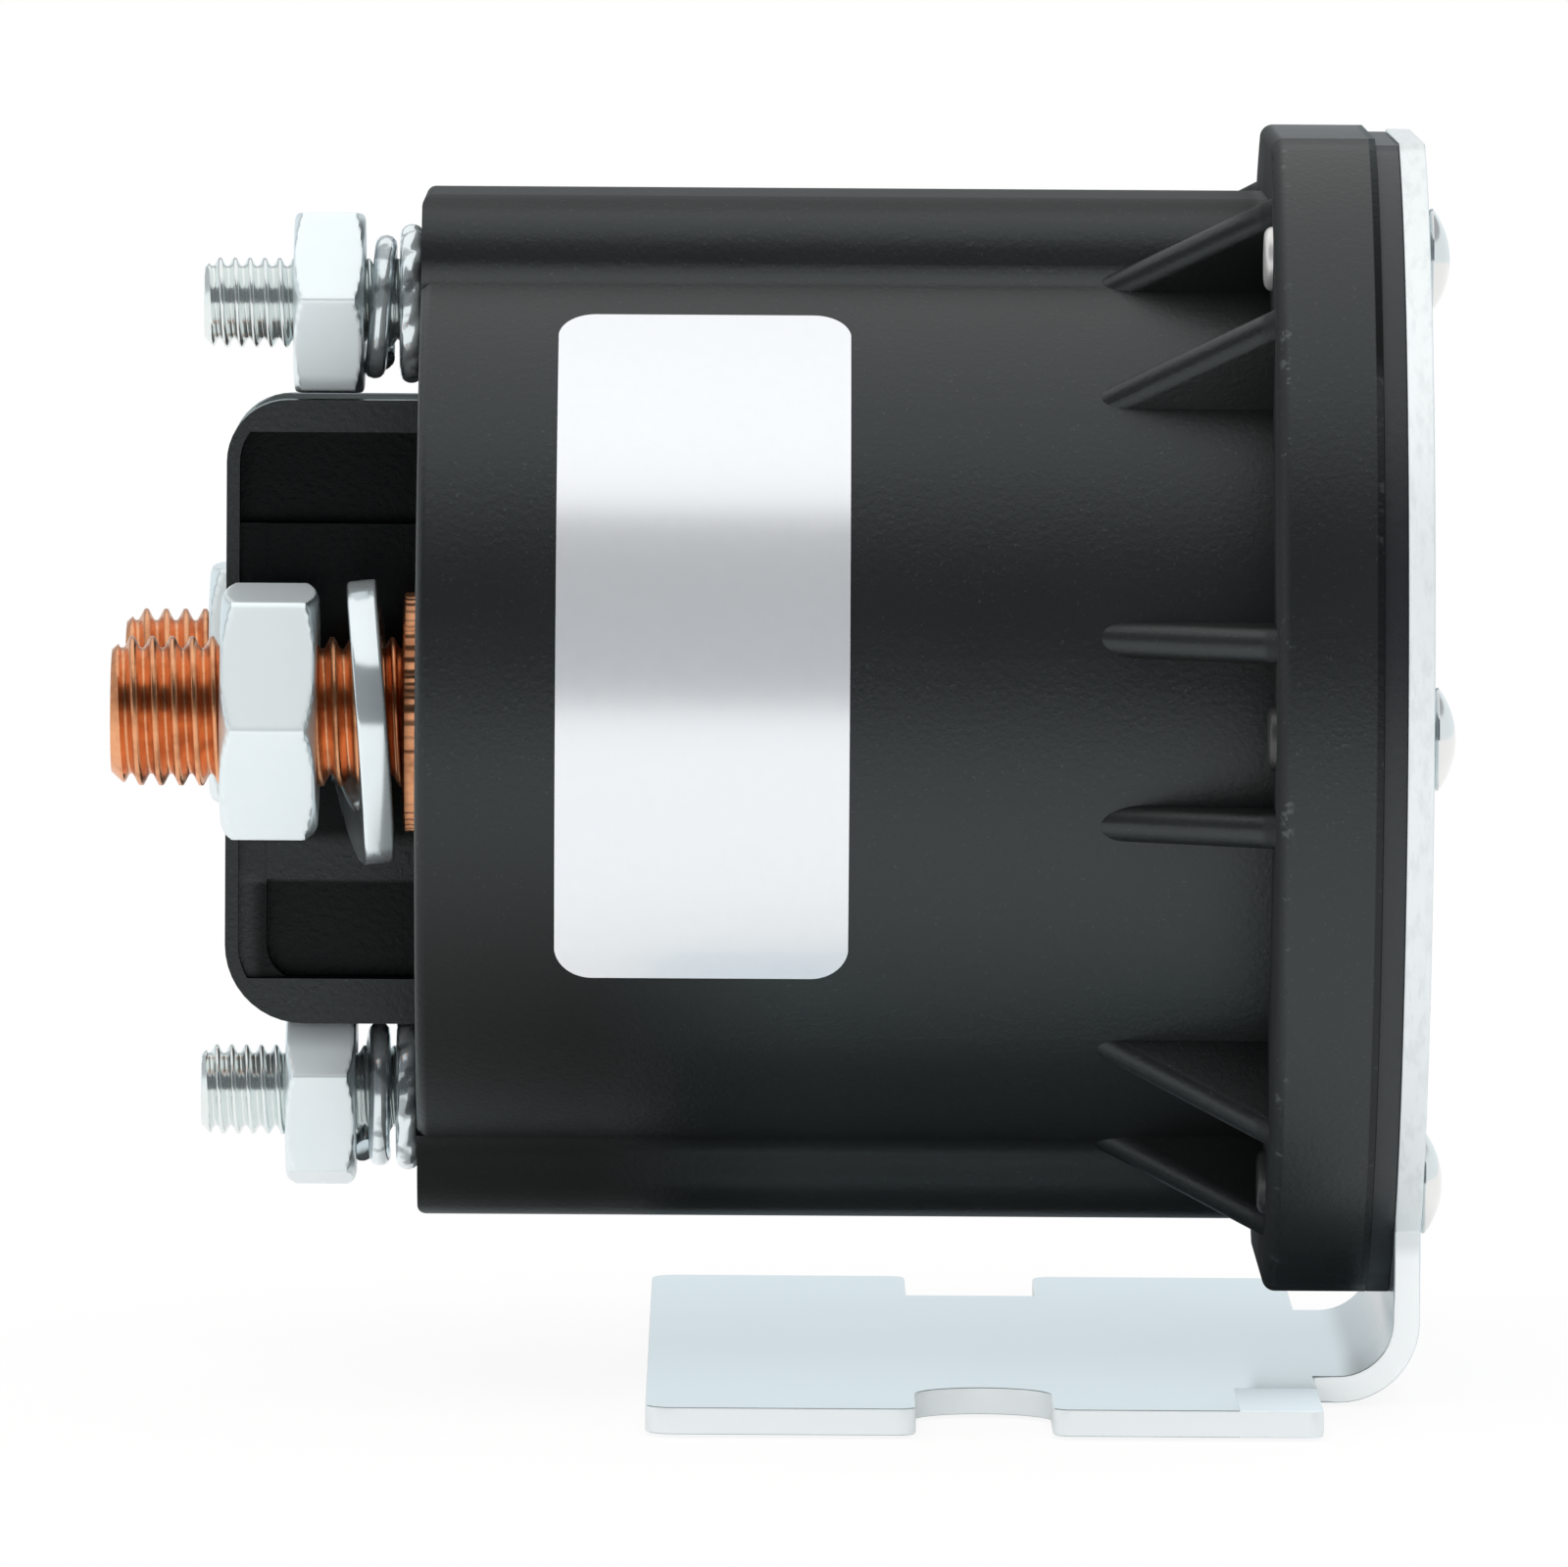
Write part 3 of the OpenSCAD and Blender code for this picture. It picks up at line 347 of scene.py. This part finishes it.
def copper(build):
    """Bare copper with slight tarnish."""
    tarnish = build.between(build.noise(420, 4.0, 0.65), 0.42, 0.75)
    streak = build.noise(1.0, 3.0, where=build.stretch(300, 2600, 2600))
    clean = build.mix(streak, (0.93, 0.47, 0.25), (0.80, 0.34, 0.16))
    colour = build.mix(tarnish * 0.6, clean, (0.40, 0.14, 0.06))
    return {"Base Color": colour, "Metallic": 1.0,
            "Roughness": 0.285 + tarnish * 0.13,
            "Normal": build.bump(streak, 0.2, 0.00004)}


def foil(build):
    """Satin silver foil label, brushed round the body."""
    brush = build.noise(1.0, 2.0, where=build.stretch(5200, 160, 160))
    mottle = build.noise(1500, 3.0)
    return {"Base Color": build.mix(mottle, (0.815, 0.84, 0.875), (0.855, 0.875, 0.907)),
            "Metallic": 0.585, "Roughness": 0.22 + mottle * 0.04,
            "Normal": build.bump(brush, 0.05, 0.00004)}


def plain_metal(tone, rough):
    """Plain metal for the pieces inside."""
    def draw(build):
        cloud = build.noise(500, 3.0)
        return {"Base Color": build.mix(cloud, tone, tuple(c * 0.8 for c in tone)),
                "Metallic": 1.0, "Roughness": rough + cloud * 0.1,
                "Normal": build.bump(cloud, 0.1, 0.00005)}
    return draw


def plain_plastic(tone, rough):
    """Plain plastic for the pieces inside."""
    def draw(build):
        cloud = build.noise(700, 3.0)
        return {"Base Color": build.mix(cloud, tone, tuple(c * 0.75 for c in tone)),
                "Roughness": rough + cloud * 0.1,
                "Normal": build.bump(cloud, 0.15, 0.00005)}
    return draw


def wound(build):
    """Enamelled copper wire laid in turns along the axis, with painted shade in the creases
    between turns.
    """
    half_wire = 0.25 * MM
    turns = build.node("Math", {"operation": "PINGPONG"},
                       {0: build.coordinate(0), 1: half_wire}) * (1 / half_wire)
    # painted shade and highlight: the colour darkens towards the creases between turns and
    # lightens on their crowns
    return {"Base Color": build.mix(turns, (0.16, 0.05, 0.02), (0.55, 0.2, 0.08)),
            "Metallic": 0.8, "Roughness": 0.3, "Normal": build.bump(turns, 0.8, 0.0002)}


FINISHES = {
    "housing_plastic": finish("moulded_black", moulded),
    "gasket_board": finish("gasket_board", board),
    "bracket_zinc": finish("bracket_zinc", sheared_zinc),
    "label_foil": finish("label_foil", foil),
    "rivet_zinc": finish("rivet_nickel", riveted),
    "copper": finish("copper", copper),
    "washer_zinc": finish("washer_zinc", plated(
        (0.88, 0.95, 0.97), (0.72, 0.80, 0.84), rough=0.13, metal=0.74, spotted=True)),
    "nut_zinc": finish("nut_zinc", plated(
        (0.84, 0.91, 0.93), (0.77, 0.85, 0.88), rough=0.285, metal=0.42)),
    "stud_zinc": finish("stud_zinc", plated(
        (0.88, 0.93, 0.92), (0.7, 0.76, 0.75), rough=0.16, metal=0.85)),
    "bush_fibre": finish("bush_fibre", plain_plastic((0.3, 0.08, 0.05), 0.5)),
    "spring_steel": finish("spring_steel", plain_metal((0.55, 0.57, 0.6), 0.2)),
    "rod_steel": finish("rod_steel", plain_metal((0.6, 0.6, 0.58), 0.22)),
    "magnet_iron": finish("magnet_iron", plain_metal((0.42, 0.44, 0.45), 0.35)),
    "bobbin_nylon": finish("bobbin_nylon", plain_plastic((0.72, 0.66, 0.5), 0.4)),
    "enamelled_wire": finish("enamelled_wire", wound),
}
SLOT_OF = {part["node"]: part["material_slot"] for part in frame["record"]["subparts"]}
for node_name, node_object in NODES.items():
    node_object.data.materials.clear()
    node_object.data.materials.append(FINISHES[SLOT_OF[node_name]])


# Meshes

# Radius in mm of the small ring that closes a turned piece on its own axis
CENTRE_R = 0.02


def solid(name, node, vertices, faces, sharp):
    """A mesh piece that stands for a CAD node, with that node's finish."""
    mesh = bpy.data.meshes.new(name)
    mesh.from_pydata([tuple(v) for v in vertices], [], faces)
    made = bpy.data.objects.new(name, mesh)
    bpy.context.scene.collection.objects.link(made)
    return dress(made, node, sharp)


def dress(made, node, sharp):
    """Clean a piece's mesh, smooth it but for its sharp edges, and put it in
    the place of its CAD node on the base."""
    mesh = made.data
    shape = bmesh.new()
    shape.from_mesh(mesh)
    bmesh.ops.remove_doubles(shape, verts=shape.verts, dist=1e-7)
    bmesh.ops.dissolve_degenerate(shape, edges=shape.edges, dist=1e-7)
    bmesh.ops.recalc_face_normals(shape, faces=shape.faces)
    shape.to_mesh(mesh)
    shape.free()
    mesh.polygons.foreach_set("use_smooth", [True] * len(mesh.polygons))
    mesh.set_sharp_from_angle(angle=math.radians(sharp))
    mesh.materials.clear()
    mesh.materials.append(FINISHES[SLOT_OF[node]])
    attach(made, "base")
    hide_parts(node)
    return made


def skin(loops, wrap=False, caps=True):
    """Faces between loops of equal length, as (vertices, faces)."""
    count = len(loops[0])
    vertices = [p for loop in loops for p in loop]
    faces = []
    for i in range(len(loops) - (0 if wrap else 1)):
        a, b = i * count, (i + 1) % len(loops) * count
        for j in range(count):
            k = (j + 1) % count
            faces.append((a + j, b + j, b + k, a + k))
    if caps and not wrap:
        faces.append(tuple(range(count)))
        faces.append(tuple(reversed(range(len(vertices) - count, len(vertices)))))
    return vertices, faces


def on_axis(up=0.0, right=0.0):
    """From a terminal's own frame (up, right, back, in mm) to the row's frame."""
    def to_row(p):
        return Vector((FACE_X + p[2] * MM, -(right + p[1]) * MM, AXIS_Z + (up + p[0]) * MM))
    return to_row


def circle(radius, z, count, turn=0.0):
    """A loop of points round a terminal's own axis."""
    angles = [TAU * j / count + turn for j in range(count)]
    return [(radius * math.cos(a), radius * math.sin(a), z) for a in angles]


def threaded_stud(name, to_row, r, root, pitch, out, tip, tip_r, shank_end, head_r, head_t,
                  columns=56):
    """A rolled thread as a helical grid, with a chamfered tip, shank and head.
    out is how far it stands in front of the face, and tip is its chamfer's length."""
    # the thread's section over one pitch: 0 at its crest and 1 at its root
    shape = [0.0, 0.04, 0.34, 0.68, 0.94, 1.0, 0.94, 0.68, 0.34, 0.04]
    per = len(shape)
    depth = r - root
    thread_end, head_edge = 0.2, 0.2
    rows = math.ceil((out + thread_end + 0.1) / pitch * per)
    loops = []
    for i in range(-per, rows):
        loop = []
        for j in range(columns):
            z = -out + (i / per + j / columns) * pitch
            radius = r - depth * shape[i % per]
            z = min(max(z, -out), thread_end)
            cone = tip_r + (z + out) * (r - tip_r) / tip
            loop.append((min(radius, cone) * math.cos(TAU * j / columns),
                         min(radius, cone) * math.sin(TAU * j / columns), z))
        loops.append(loop)
    vertices, faces = [], []
    for loop in loops:
        vertices.extend(loop)
    for i in range(len(loops) - 1):
        a, b = i * columns, (i + 1) * columns
        for j in range(columns - 1):
            faces.append((a + j, b + j, b + j + 1, a + j + 1))
        # the seam steps on by one pitch
        if i + per + 1 < len(loops):
            c, d = (i + per) * columns, (i + per + 1) * columns
            faces.append((a + columns - 1, b + columns - 1, d, c))
    end_face = [(tip_r, -out), (tip_r * 0.55, -out), (CENTRE_R, -out)]
    shank = [(CENTRE_R, 0.1), (root, 0.1), (r, 0.15), (r, shank_end),
             (head_r - head_edge, shank_end), (head_r, shank_end + head_edge),
             (head_r, shank_end + head_t - head_edge),
             (head_r - head_edge, shank_end + head_t), (CENTRE_R, shank_end + head_t)]
    for outline in (end_face, shank):
        start = len(vertices)
        more_vertices, more_faces = skin(
            [circle(radius, z, columns) for radius, z in outline], caps=False)
        vertices += more_vertices
        faces += [tuple(v + start for v in face) for face in more_faces]
    return solid(name + "_threaded", name, [to_row(v) for v in vertices], faces, sharp=60)


def hex_nut(name, to_row, af, height, bore, gap, turn):
    """A chamfered hexagon nut with every edge slightly rounded. af is its width
    across flats and gap its distance from the face. The higher the power, the
    sharper the corners."""
    columns, power = 360, 120
    end_face_r = af / 2 * 0.965
    slope = math.tan(math.radians(27))

    def outer(theta, z):
        flats = [(max(math.cos(theta - k * TAU / 6 - TAU / 12), 0) / (af / 2)) ** power
                 for k in range(6)]
        cone = end_face_r + min(z + height, -z) / slope
        return (sum(flats) + (1 / cone) ** power) ** (-1 / power)

    # how far each level lies from its end, and how much the first ones are rounded
    steps = [0.0, 0.03, 0.1, 0.2, 0.32, 0.45, 0.6, 0.78, 1.0]
    levels = [-height + step for step in steps] + [-step for step in reversed(steps)]
    trims = {0.0: 0.1, 0.03: 0.04, 0.1: 0.01}
    loops = []
    for i, z in enumerate(levels):
        step = steps[min(i, len(levels) - 1 - i)]
        loop = []
        for j in range(columns):
            theta = TAU * j / columns
            radius = outer(theta, z) - trims.get(step, 0.0)
            angle = theta + math.radians(turn)
            loop.append((radius * math.cos(angle), radius * math.sin(angle), z - gap))
        loops.append(loop)
    sink = 0.42  # the chamfer of the bore
    for radius, z in ((bore + sink, 0.0), (bore, -sink), (bore, -height + sink),
                      (bore + sink, -height)):
        loops.append(circle(radius, z - gap, columns, math.radians(turn)))
    vertices, faces = skin(loops, wrap=True)
    return solid(name + "_chamfered", name, [to_row(v) for v in vertices], faces, sharp=40)


def split_washer(name, to_row, r_out, r_in, thick, rise, lean, nod, split_at, middle, drop,
                 columns=96, round_off=0.12, bend=0.0):
    """A helical spring washer with rounded section corners and a slanting slit. It
    rises by an amount over its turn, leans and nods by angles, and lies dropped
    below its stud's axis. Its last fifth can be bent further out by an amount."""
    slit, slant = 9.0, math.radians(8)
    bend_start = 0.79
    corner = thick * round_off
    half = thick / 2
    inner, outer, low, high = r_in + corner, r_out - corner, corner - half, half - corner
    section = []
    for cx, cz, start in ((outer, high, 0), (inner, high, 90), (inner, low, 180),
                          (outer, low, 270)):
        for k in range(4):
            angle = math.radians(start + 30 * k)
            section.append((cx + corner * math.cos(angle), cz + corner * math.sin(angle)))
    tilt = (Matrix.Rotation(math.radians(lean), 4, "X")
            @ Matrix.Rotation(math.radians(nod), 4, "Y"))
    loops = []
    for i in range(columns + 1):
        part = i / columns
        theta = math.radians(split_at + slit / 2 + part * (360 - slit))
        bent = max(0.0, part - bend_start) / (1 - bend_start) * bend
        lift = (0.5 - part) * rise - bent
        loop = []
        for radius, z in section:
            # the slit's walls slant through the thickness
            swing = slant * z / half * (1 if abs(part - 0.5) > 0.49 else 0)
            point = tilt @ Vector((radius * math.cos(theta + swing),
                                   radius * math.sin(theta + swing), z + lift))
            loop.append((point.x - drop, point.y, point.z + middle))
        loops.append(loop)
    vertices, faces = skin(loops)
    return solid(name + "_sprung", name, [to_row(v) for v in vertices], faces, sharp=45)


def tooth_washer(name, to_row, r_out, r_in, thick, stack):
    """A thick rounded ring whose rim is cut into short slanting teeth. stack is
    twice the distance of its middle from the face."""
    teeth, slant, tooth_depth = 12, 0.25, 0.2
    columns = teeth * 12
    half = thick / 2
    bulge = half * 0.8
    levels = [(r_in, -bulge), (r_in + 0.1, -half)]
    steps = 11
    for i in range(steps):
        angle = math.pi * (i / (steps - 1) - 0.5)
        levels.append((r_out - bulge + bulge * math.cos(angle), half * math.sin(angle)))
    levels += [(r_in + 0.1, half), (r_in, bulge)]
    loops = []
    for radius, z in levels:
        outer = max(0.0, (radius - (r_out - half)) / half)
        loop = []
        for j in range(columns):
            theta = TAU * j / columns
            phase = (theta / TAU * teeth + slant * z / half) % 1.0
            groove = max(0.0, 1 - abs(phase - 0.5) / 0.3)
            near = radius - tooth_depth * groove * outer
            loop.append((near * math.cos(theta), near * math.sin(theta), z - stack / 2))
        loops.append(loop)
    vertices, faces = skin(loops, wrap=True)
    return solid(name + "_toothed", name, [to_row(v) for v in vertices], faces, sharp=60)


def knurled_collar(name, to_row, r, r_in, thick, seed):
    """A collar with a fine straight knurl, slightly uneven, round its edge."""
    draw = random.Random(seed)
    teeth, per = 52, 6
    columns = teeth * per
    depth = [0.04 + 0.1 * draw.random() for _ in range(teeth)]
    loops = []
    # shares of the thickness, and how far the edge is trimmed there
    for level, trim in ((0.0, 0.0), (0.2, 0.0), (0.5, 0.03), (0.85, 0.0), (1.0, 0.14)):
        loop = []
        for j in range(columns):
            theta = TAU * j / columns
            swing = 0.5 + 0.5 * math.cos(TAU * j / per)
            radius = r - trim - depth[j // per] * swing
            loop.append((radius * math.cos(theta), radius * math.sin(theta), -thick * level))
        loops.append(loop)
    loops.append(circle(r_in, -thick, columns))
    loops.append(circle(r_in, 0.0, columns))
    vertices, faces = skin(loops, wrap=True)
    return solid(name + "_knurled", name, [to_row(v) for v in vertices], faces, sharp=50)


def tubular_rivet(name, head_r, head_h, tail_r, tail_h, shank_r):
    """A rivet with a domed head, a hollow shank and a rolled tail. The frame gives
    its place and its length."""
    columns, dome_steps, roll_steps = 56, 12, 10
    low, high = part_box(name)
    right, up = -(low.y + high.y) / 2 / MM, ((low.z + high.z) / 2 - AXIS_Z) / MM
    front, back = (low.x - FACE_X) / MM, (high.x - FACE_X) / MM
    seat = back - head_h
    rim = 0.28
    ball = (head_r ** 2 + (head_h - rim) ** 2) / (2 * (head_h - rim))
    dome = []
    for i in range(dome_steps + 1):
        radius = head_r * i / dome_steps
        dome.append((max(radius, CENTRE_R), back - ball + math.sqrt(ball ** 2 - radius ** 2)))
    side = [(head_r, seat + rim * 0.6), (head_r - 0.1, seat + 0.04), (head_r - 0.16, seat)]
    bore = shank_r * 0.5
    curl = (tail_r - bore) / 2
    roll = []
    for i in range(roll_steps + 1):
        angle = math.pi * i / roll_steps
        roll.append((bore + curl + curl * math.cos(angle),
                     front + tail_h - tail_h * math.sin(angle)))
    outline = dome + side + [(shank_r, seat), (shank_r, front + tail_h)] + roll + [
        (bore, front + 1.4), (bore * 0.6, front + 1.7), (CENTRE_R, front + 1.8)]
    vertices, faces = skin([circle(radius, z, columns) for radius, z in outline])
    to_row = on_axis(up, right)
    return solid(name + "_turned", name, [to_row(v) for v in vertices], faces, sharp=45)


def bake_modifiers(made):
    """Turn a piece's modifiers into its mesh."""
    bpy.context.view_layer.update()
    baked = bpy.data.meshes.new_from_object(
        made.evaluated_get(bpy.context.evaluated_depsgraph_get()))
    made.modifiers.clear()
    made.data = baked


def softened(node, width):
    """A copy of a CAD node whose hard edges are rounded by a width in mm."""
    source = NODES[node]
    made = bpy.data.objects.new(node + "_softened", source.data.copy())
    bpy.context.scene.collection.objects.link(made)
    mesh = made.data
    shape = bmesh.new()
    shape.from_mesh(mesh)
    bmesh.ops.remove_doubles(shape, verts=shape.verts, dist=2e-6)
    bmesh.ops.dissolve_limit(shape, angle_limit=math.radians(0.5), verts=shape.verts,
                             edges=shape.edges)
    shape.to_mesh(mesh)
    shape.free()
    if mesh.has_custom_normals:
        with bpy.context.temp_override(object=made, active_object=made, selected_objects=[made]):
            bpy.ops.mesh.customdata_custom_splitnormals_clear()
    edge = made.modifiers.new("edge", "BEVEL")
    edge.width = width * MM
    edge.segments = 2
    edge.limit_method = "ANGLE"
    edge.angle_limit = math.radians(30)
    edge.use_clamp_overlap = True
    bake_modifiers(made)
    dress(made, node, sharp=40)
    shading = made.modifiers.new("shading", "WEIGHTED_NORMAL")
    shading.weight = 70
    shading.keep_sharp = True
    bake_modifiers(made)
    return made


# Pieces

# Sizes in mm. The first of each group is how far the studs are from the housing's
# axis. A lock washer's middle lies halfway from its collar or toothed washer to its
# nut, or on the power studs that much further back
POWER_OUT = 12.0
POWER_THREAD = dict(r=3.97, root=3.33, pitch=1.0583, out=16.2, tip=0.8, tip_r=3.25,
                    shank_end=5.0, head_r=7.0, head_t=3.0)
POWER_NUT = dict(af=12.7, height=5.1, bore=3.8)
POWER_WASHER = dict(r_out=7.5, r_in=4.55, thick=1.6, rise=1.6, nod=6.7, drop=0.53, bend=0.74)
POWER_WASHER_BACK = 0.52
POWER_COLLAR = dict(r=6.35, r_in=3.99, thick=0.75)

COIL_OUT = 21.1
COIL_THREAD = dict(r=2.41, root=1.95, pitch=0.794, out=11.7, tip=0.5, tip_r=1.9,
                   shank_end=5.0, head_r=3.4, head_t=2.2, columns=44)
COIL_NUT = dict(af=9.52, height=3.75, bore=2.3)
COIL_WASHER = dict(r_out=3.85, r_in=2.66, thick=1.15, lean=1.0, nod=-3, drop=0.19,
                   columns=64, round_off=0.44)
TOOTH_WASHER = dict(r_out=4.25, r_in=2.51, thick=1.2, stack=1.3)

RIVETS = 6
RIVET = dict(head_r=2.7, head_h=1.2, tail_r=1.7, tail_h=0.45, shank_r=1.3)

for side, hand, gap, turn, split in ((1, "right", 5.3, 35, 255), (-1, "left", 6.55, 30, 60)):
    to_row = on_axis(right=side * POWER_OUT)
    threaded_stud("power_stud_" + hand, to_row, **POWER_THREAD)
    hex_nut("power_nut_" + hand, to_row, gap=gap, turn=turn, **POWER_NUT)
    split_washer("power_lock_washer_" + hand, to_row, lean=side * 2.3, split_at=split,
                 middle=POWER_WASHER_BACK - (POWER_COLLAR["thick"] + gap) / 2,
                 **POWER_WASHER)
    knurled_collar("power_collar_" + hand, to_row, seed=3 + side, **POWER_COLLAR)

for side, level, gap, turn, split, rise in ((1, "upper", 3.15, 26, 200, 0.5),
                                            (-1, "lower", 3.4, 18, 190, -0.8)):
    to_row = on_axis(up=side * COIL_OUT)
    threaded_stud("coil_stud_" + level, to_row, **COIL_THREAD)
    hex_nut("coil_nut_" + level, to_row, gap=gap, turn=turn, **COIL_NUT)
    split_washer("coil_lock_washer_" + level, to_row, rise=rise, split_at=split,
                 middle=-(TOOTH_WASHER["stack"] + gap) / 2, **COIL_WASHER)
    tooth_washer("coil_tooth_washer_" + level, to_row, **TOOTH_WASHER)

for index in range(1, RIVETS + 1):
    tubular_rivet("rivet_%d" % index, **RIVET)

softened("housing_cover", 0.2)
softened("mounting_bracket", 0.25)

# The gasket's lower flat is drawn flush with the flange's
gasket = softened("base_gasket", 0.12)
gasket_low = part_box("base_gasket")[0].z
lower_flat = gasket_low + 0.3 * MM
for point in gasket.data.vertices:
    if point.co.z < lower_flat:
        point.co.z -= gasket_low - HOUSING_LOW.z


# Stage

def card(name, vertices, faces, material):
    """A piece of the set that isn't part of the object."""
    mesh = bpy.data.meshes.new(name)
    mesh.from_pydata(vertices, [], faces)
    made = bpy.data.objects.new(name, mesh)
    bpy.context.scene.collection.objects.link(made)
    mesh.materials.append(material)
    return made


def white_in_view(build, lit):
    """White for camera, glossy and transmission rays, over a lit surface.
    Close to the object, in its shade, less of the white is shown."""
    away = build.node("VectorMath", {"operation": "LENGTH"}, {0: build.place()}, out=1)
    under_body = 1 - build.between(away, 0.035, 0.062)
    behind_nuts = 1 - build.between(0 - build.coordinate(0), 0.027, 0.036)
    seen = (build.node("LightPath", out="Is Camera Ray")
            * (0.9 + build.between(away, 0.05, 0.3) * 0.1)
            + build.node("LightPath", out="Is Glossy Ray")
            * (1 - under_body * behind_nuts * 0.88)
            + build.node("LightPath", out="Is Transmission Ray"))
    glow = build.node("Emission", None, {"Color": (1, 1, 1, 1), "Strength": 1.0})
    return build.node("MixShader", None, {0: seen, 1: lit, 2: glow})


floor_white = bpy.data.materials.new("floor_white")
floor_white.use_nodes = True
floor_build = Build(floor_white.node_tree)
floor_lit = floor_build.node("BsdfDiffuse", None, {"Color": (0.93, 0.93, 0.93, 1)})
floor_build.node("OutputMaterial", None, {"Surface": white_in_view(floor_build, floor_lit)})
REACH = 12.0
FLOOR_Z = -0.0002
card("floor", [(-REACH, -REACH, FLOOR_Z), (REACH, -REACH, FLOOR_Z),
               (REACH, REACH, FLOOR_Z), (-REACH, REACH, FLOOR_Z)], [(0, 1, 2, 3)],
     floor_white)

# Cards stand round the set, seen only in reflections: a dark one behind the
# camera, and a pale one with a grey one over it behind the object
CARD_SIDES = 32
CARD_R = 1.15


def curved_card(name, middle, span, low, high, draw):
    """An upright arc, from a low to a high level, that spans an angle to each
    side of a bearing measured from the camera's side."""
    points = []
    for z in (low, high):
        for i in range(CARD_SIDES + 1):
            turn = math.radians(middle - span + 2 * span * i / CARD_SIDES)
            points.append((CARD_R * math.sin(turn), -CARD_R * math.cos(turn), z))
    faces = [(i, i + 1, i + CARD_SIDES + 2, i + CARD_SIDES + 1) for i in range(CARD_SIDES)]
    made = card(name, points, faces, finish(name, draw))
    for flag in ("visible_camera", "visible_diffuse", "visible_shadow", "visible_transmission"):
        setattr(made, flag, False)


def shown_as(tone):
    """A card that shows one tone, whatever light falls on it."""
    def draw(build):
        return {"Base Color": (0, 0, 0, 1), "Specular IOR Level": 0.0,
                "Emission Color": (*tone, 1), "Emission Strength": 1.0}
    return draw


curved_card("dark_card", 0, 80, 0.07, 1.38, lambda build: {
    "Base Color": (0.026, 0.034, 0.05, 1), "Roughness": 1.0, "Specular IOR Level": 0.0})
curved_card("grey_card", 180, 85, 0.3, 0.75, shown_as((0.42, 0.44, 0.46)))
curved_card("pale_card", 180, 85, 0.0, 0.3, shown_as((0.83, 0.905, 0.935)))


def softbox(name, place, aim, size, power, tint=(1.0, 1.0, 1.0)):
    """A lamp that lights the set but isn't seen in reflections."""
    lamp = bpy.data.lights.new(name, "AREA")
    lamp.shape = "RECTANGLE"
    lamp.size, lamp.size_y = size
    lamp.energy = power
    lamp.color = tint
    made = bpy.data.objects.new(name, lamp)
    made.location = place
    made.rotation_euler = (Vector(aim) - Vector(place)).to_track_quat("-Z", "Y").to_euler()
    made.visible_glossy = False
    bpy.context.scene.collection.objects.link(made)


CENTRE = (0, 0, 0.03)
softbox("key_above", (-0.1, -0.25, 0.85), CENTRE, (0.9, 0.7), 2.4, tint=(1.0, 0.965, 0.89))
softbox("fill_front", (0.1, -0.95, 0.22), CENTRE, (0.9, 0.36), 1.8, tint=(0.93, 0.97, 1.0))
softbox("fill_left", (-0.9, -0.2, 0.45), (-0.02, 0, 0.03), (0.4, 0.5), 1.2)
softbox("fill_back", (0.3, 0.8, 0.6), CENTRE, (0.6, 0.4), 1.5)

world = bpy.data.worlds.new("studio")
world.use_nodes = True
bpy.context.scene.world = world
sky = Build(world.node_tree)
shown = sky.node("LightPath", out="Is Camera Ray") + sky.node(
    "LightPath", out="Is Glossy Ray") + sky.node("LightPath", out="Is Transmission Ray")
# the world is white where it is seen, and lights the object a little less
sky.node("OutputWorld", None, {"Surface": sky.node("Background", None, {
    "Color": (1, 1, 1, 1), "Strength": 0.82 + shown * 0.18})})


# Camera

camera_data = bpy.data.cameras.new("camera")
camera = bpy.data.objects.new("camera", camera_data)
bpy.context.scene.collection.objects.link(camera)
bpy.context.scene.camera = camera
CAMERA_AT = Vector((-0.0131, -1.0, 0.1009))
CAMERA_AIM = Vector((-0.0105, 0.0, 0.0313))
ROLL = math.radians(0.36)
look = (CAMERA_AIM - CAMERA_AT).to_track_quat("-Z", "Y").to_matrix().to_4x4()
camera.matrix_world = Matrix.Translation(CAMERA_AT) @ look @ Matrix.Rotation(ROLL, 4, "Z")
camera_data.sensor_width = 36.0
camera_data.lens = 429.7
camera_data.clip_start = 0.05
camera_data.clip_end = 40.0

bpy.context.scene.view_settings.view_transform = "Standard"
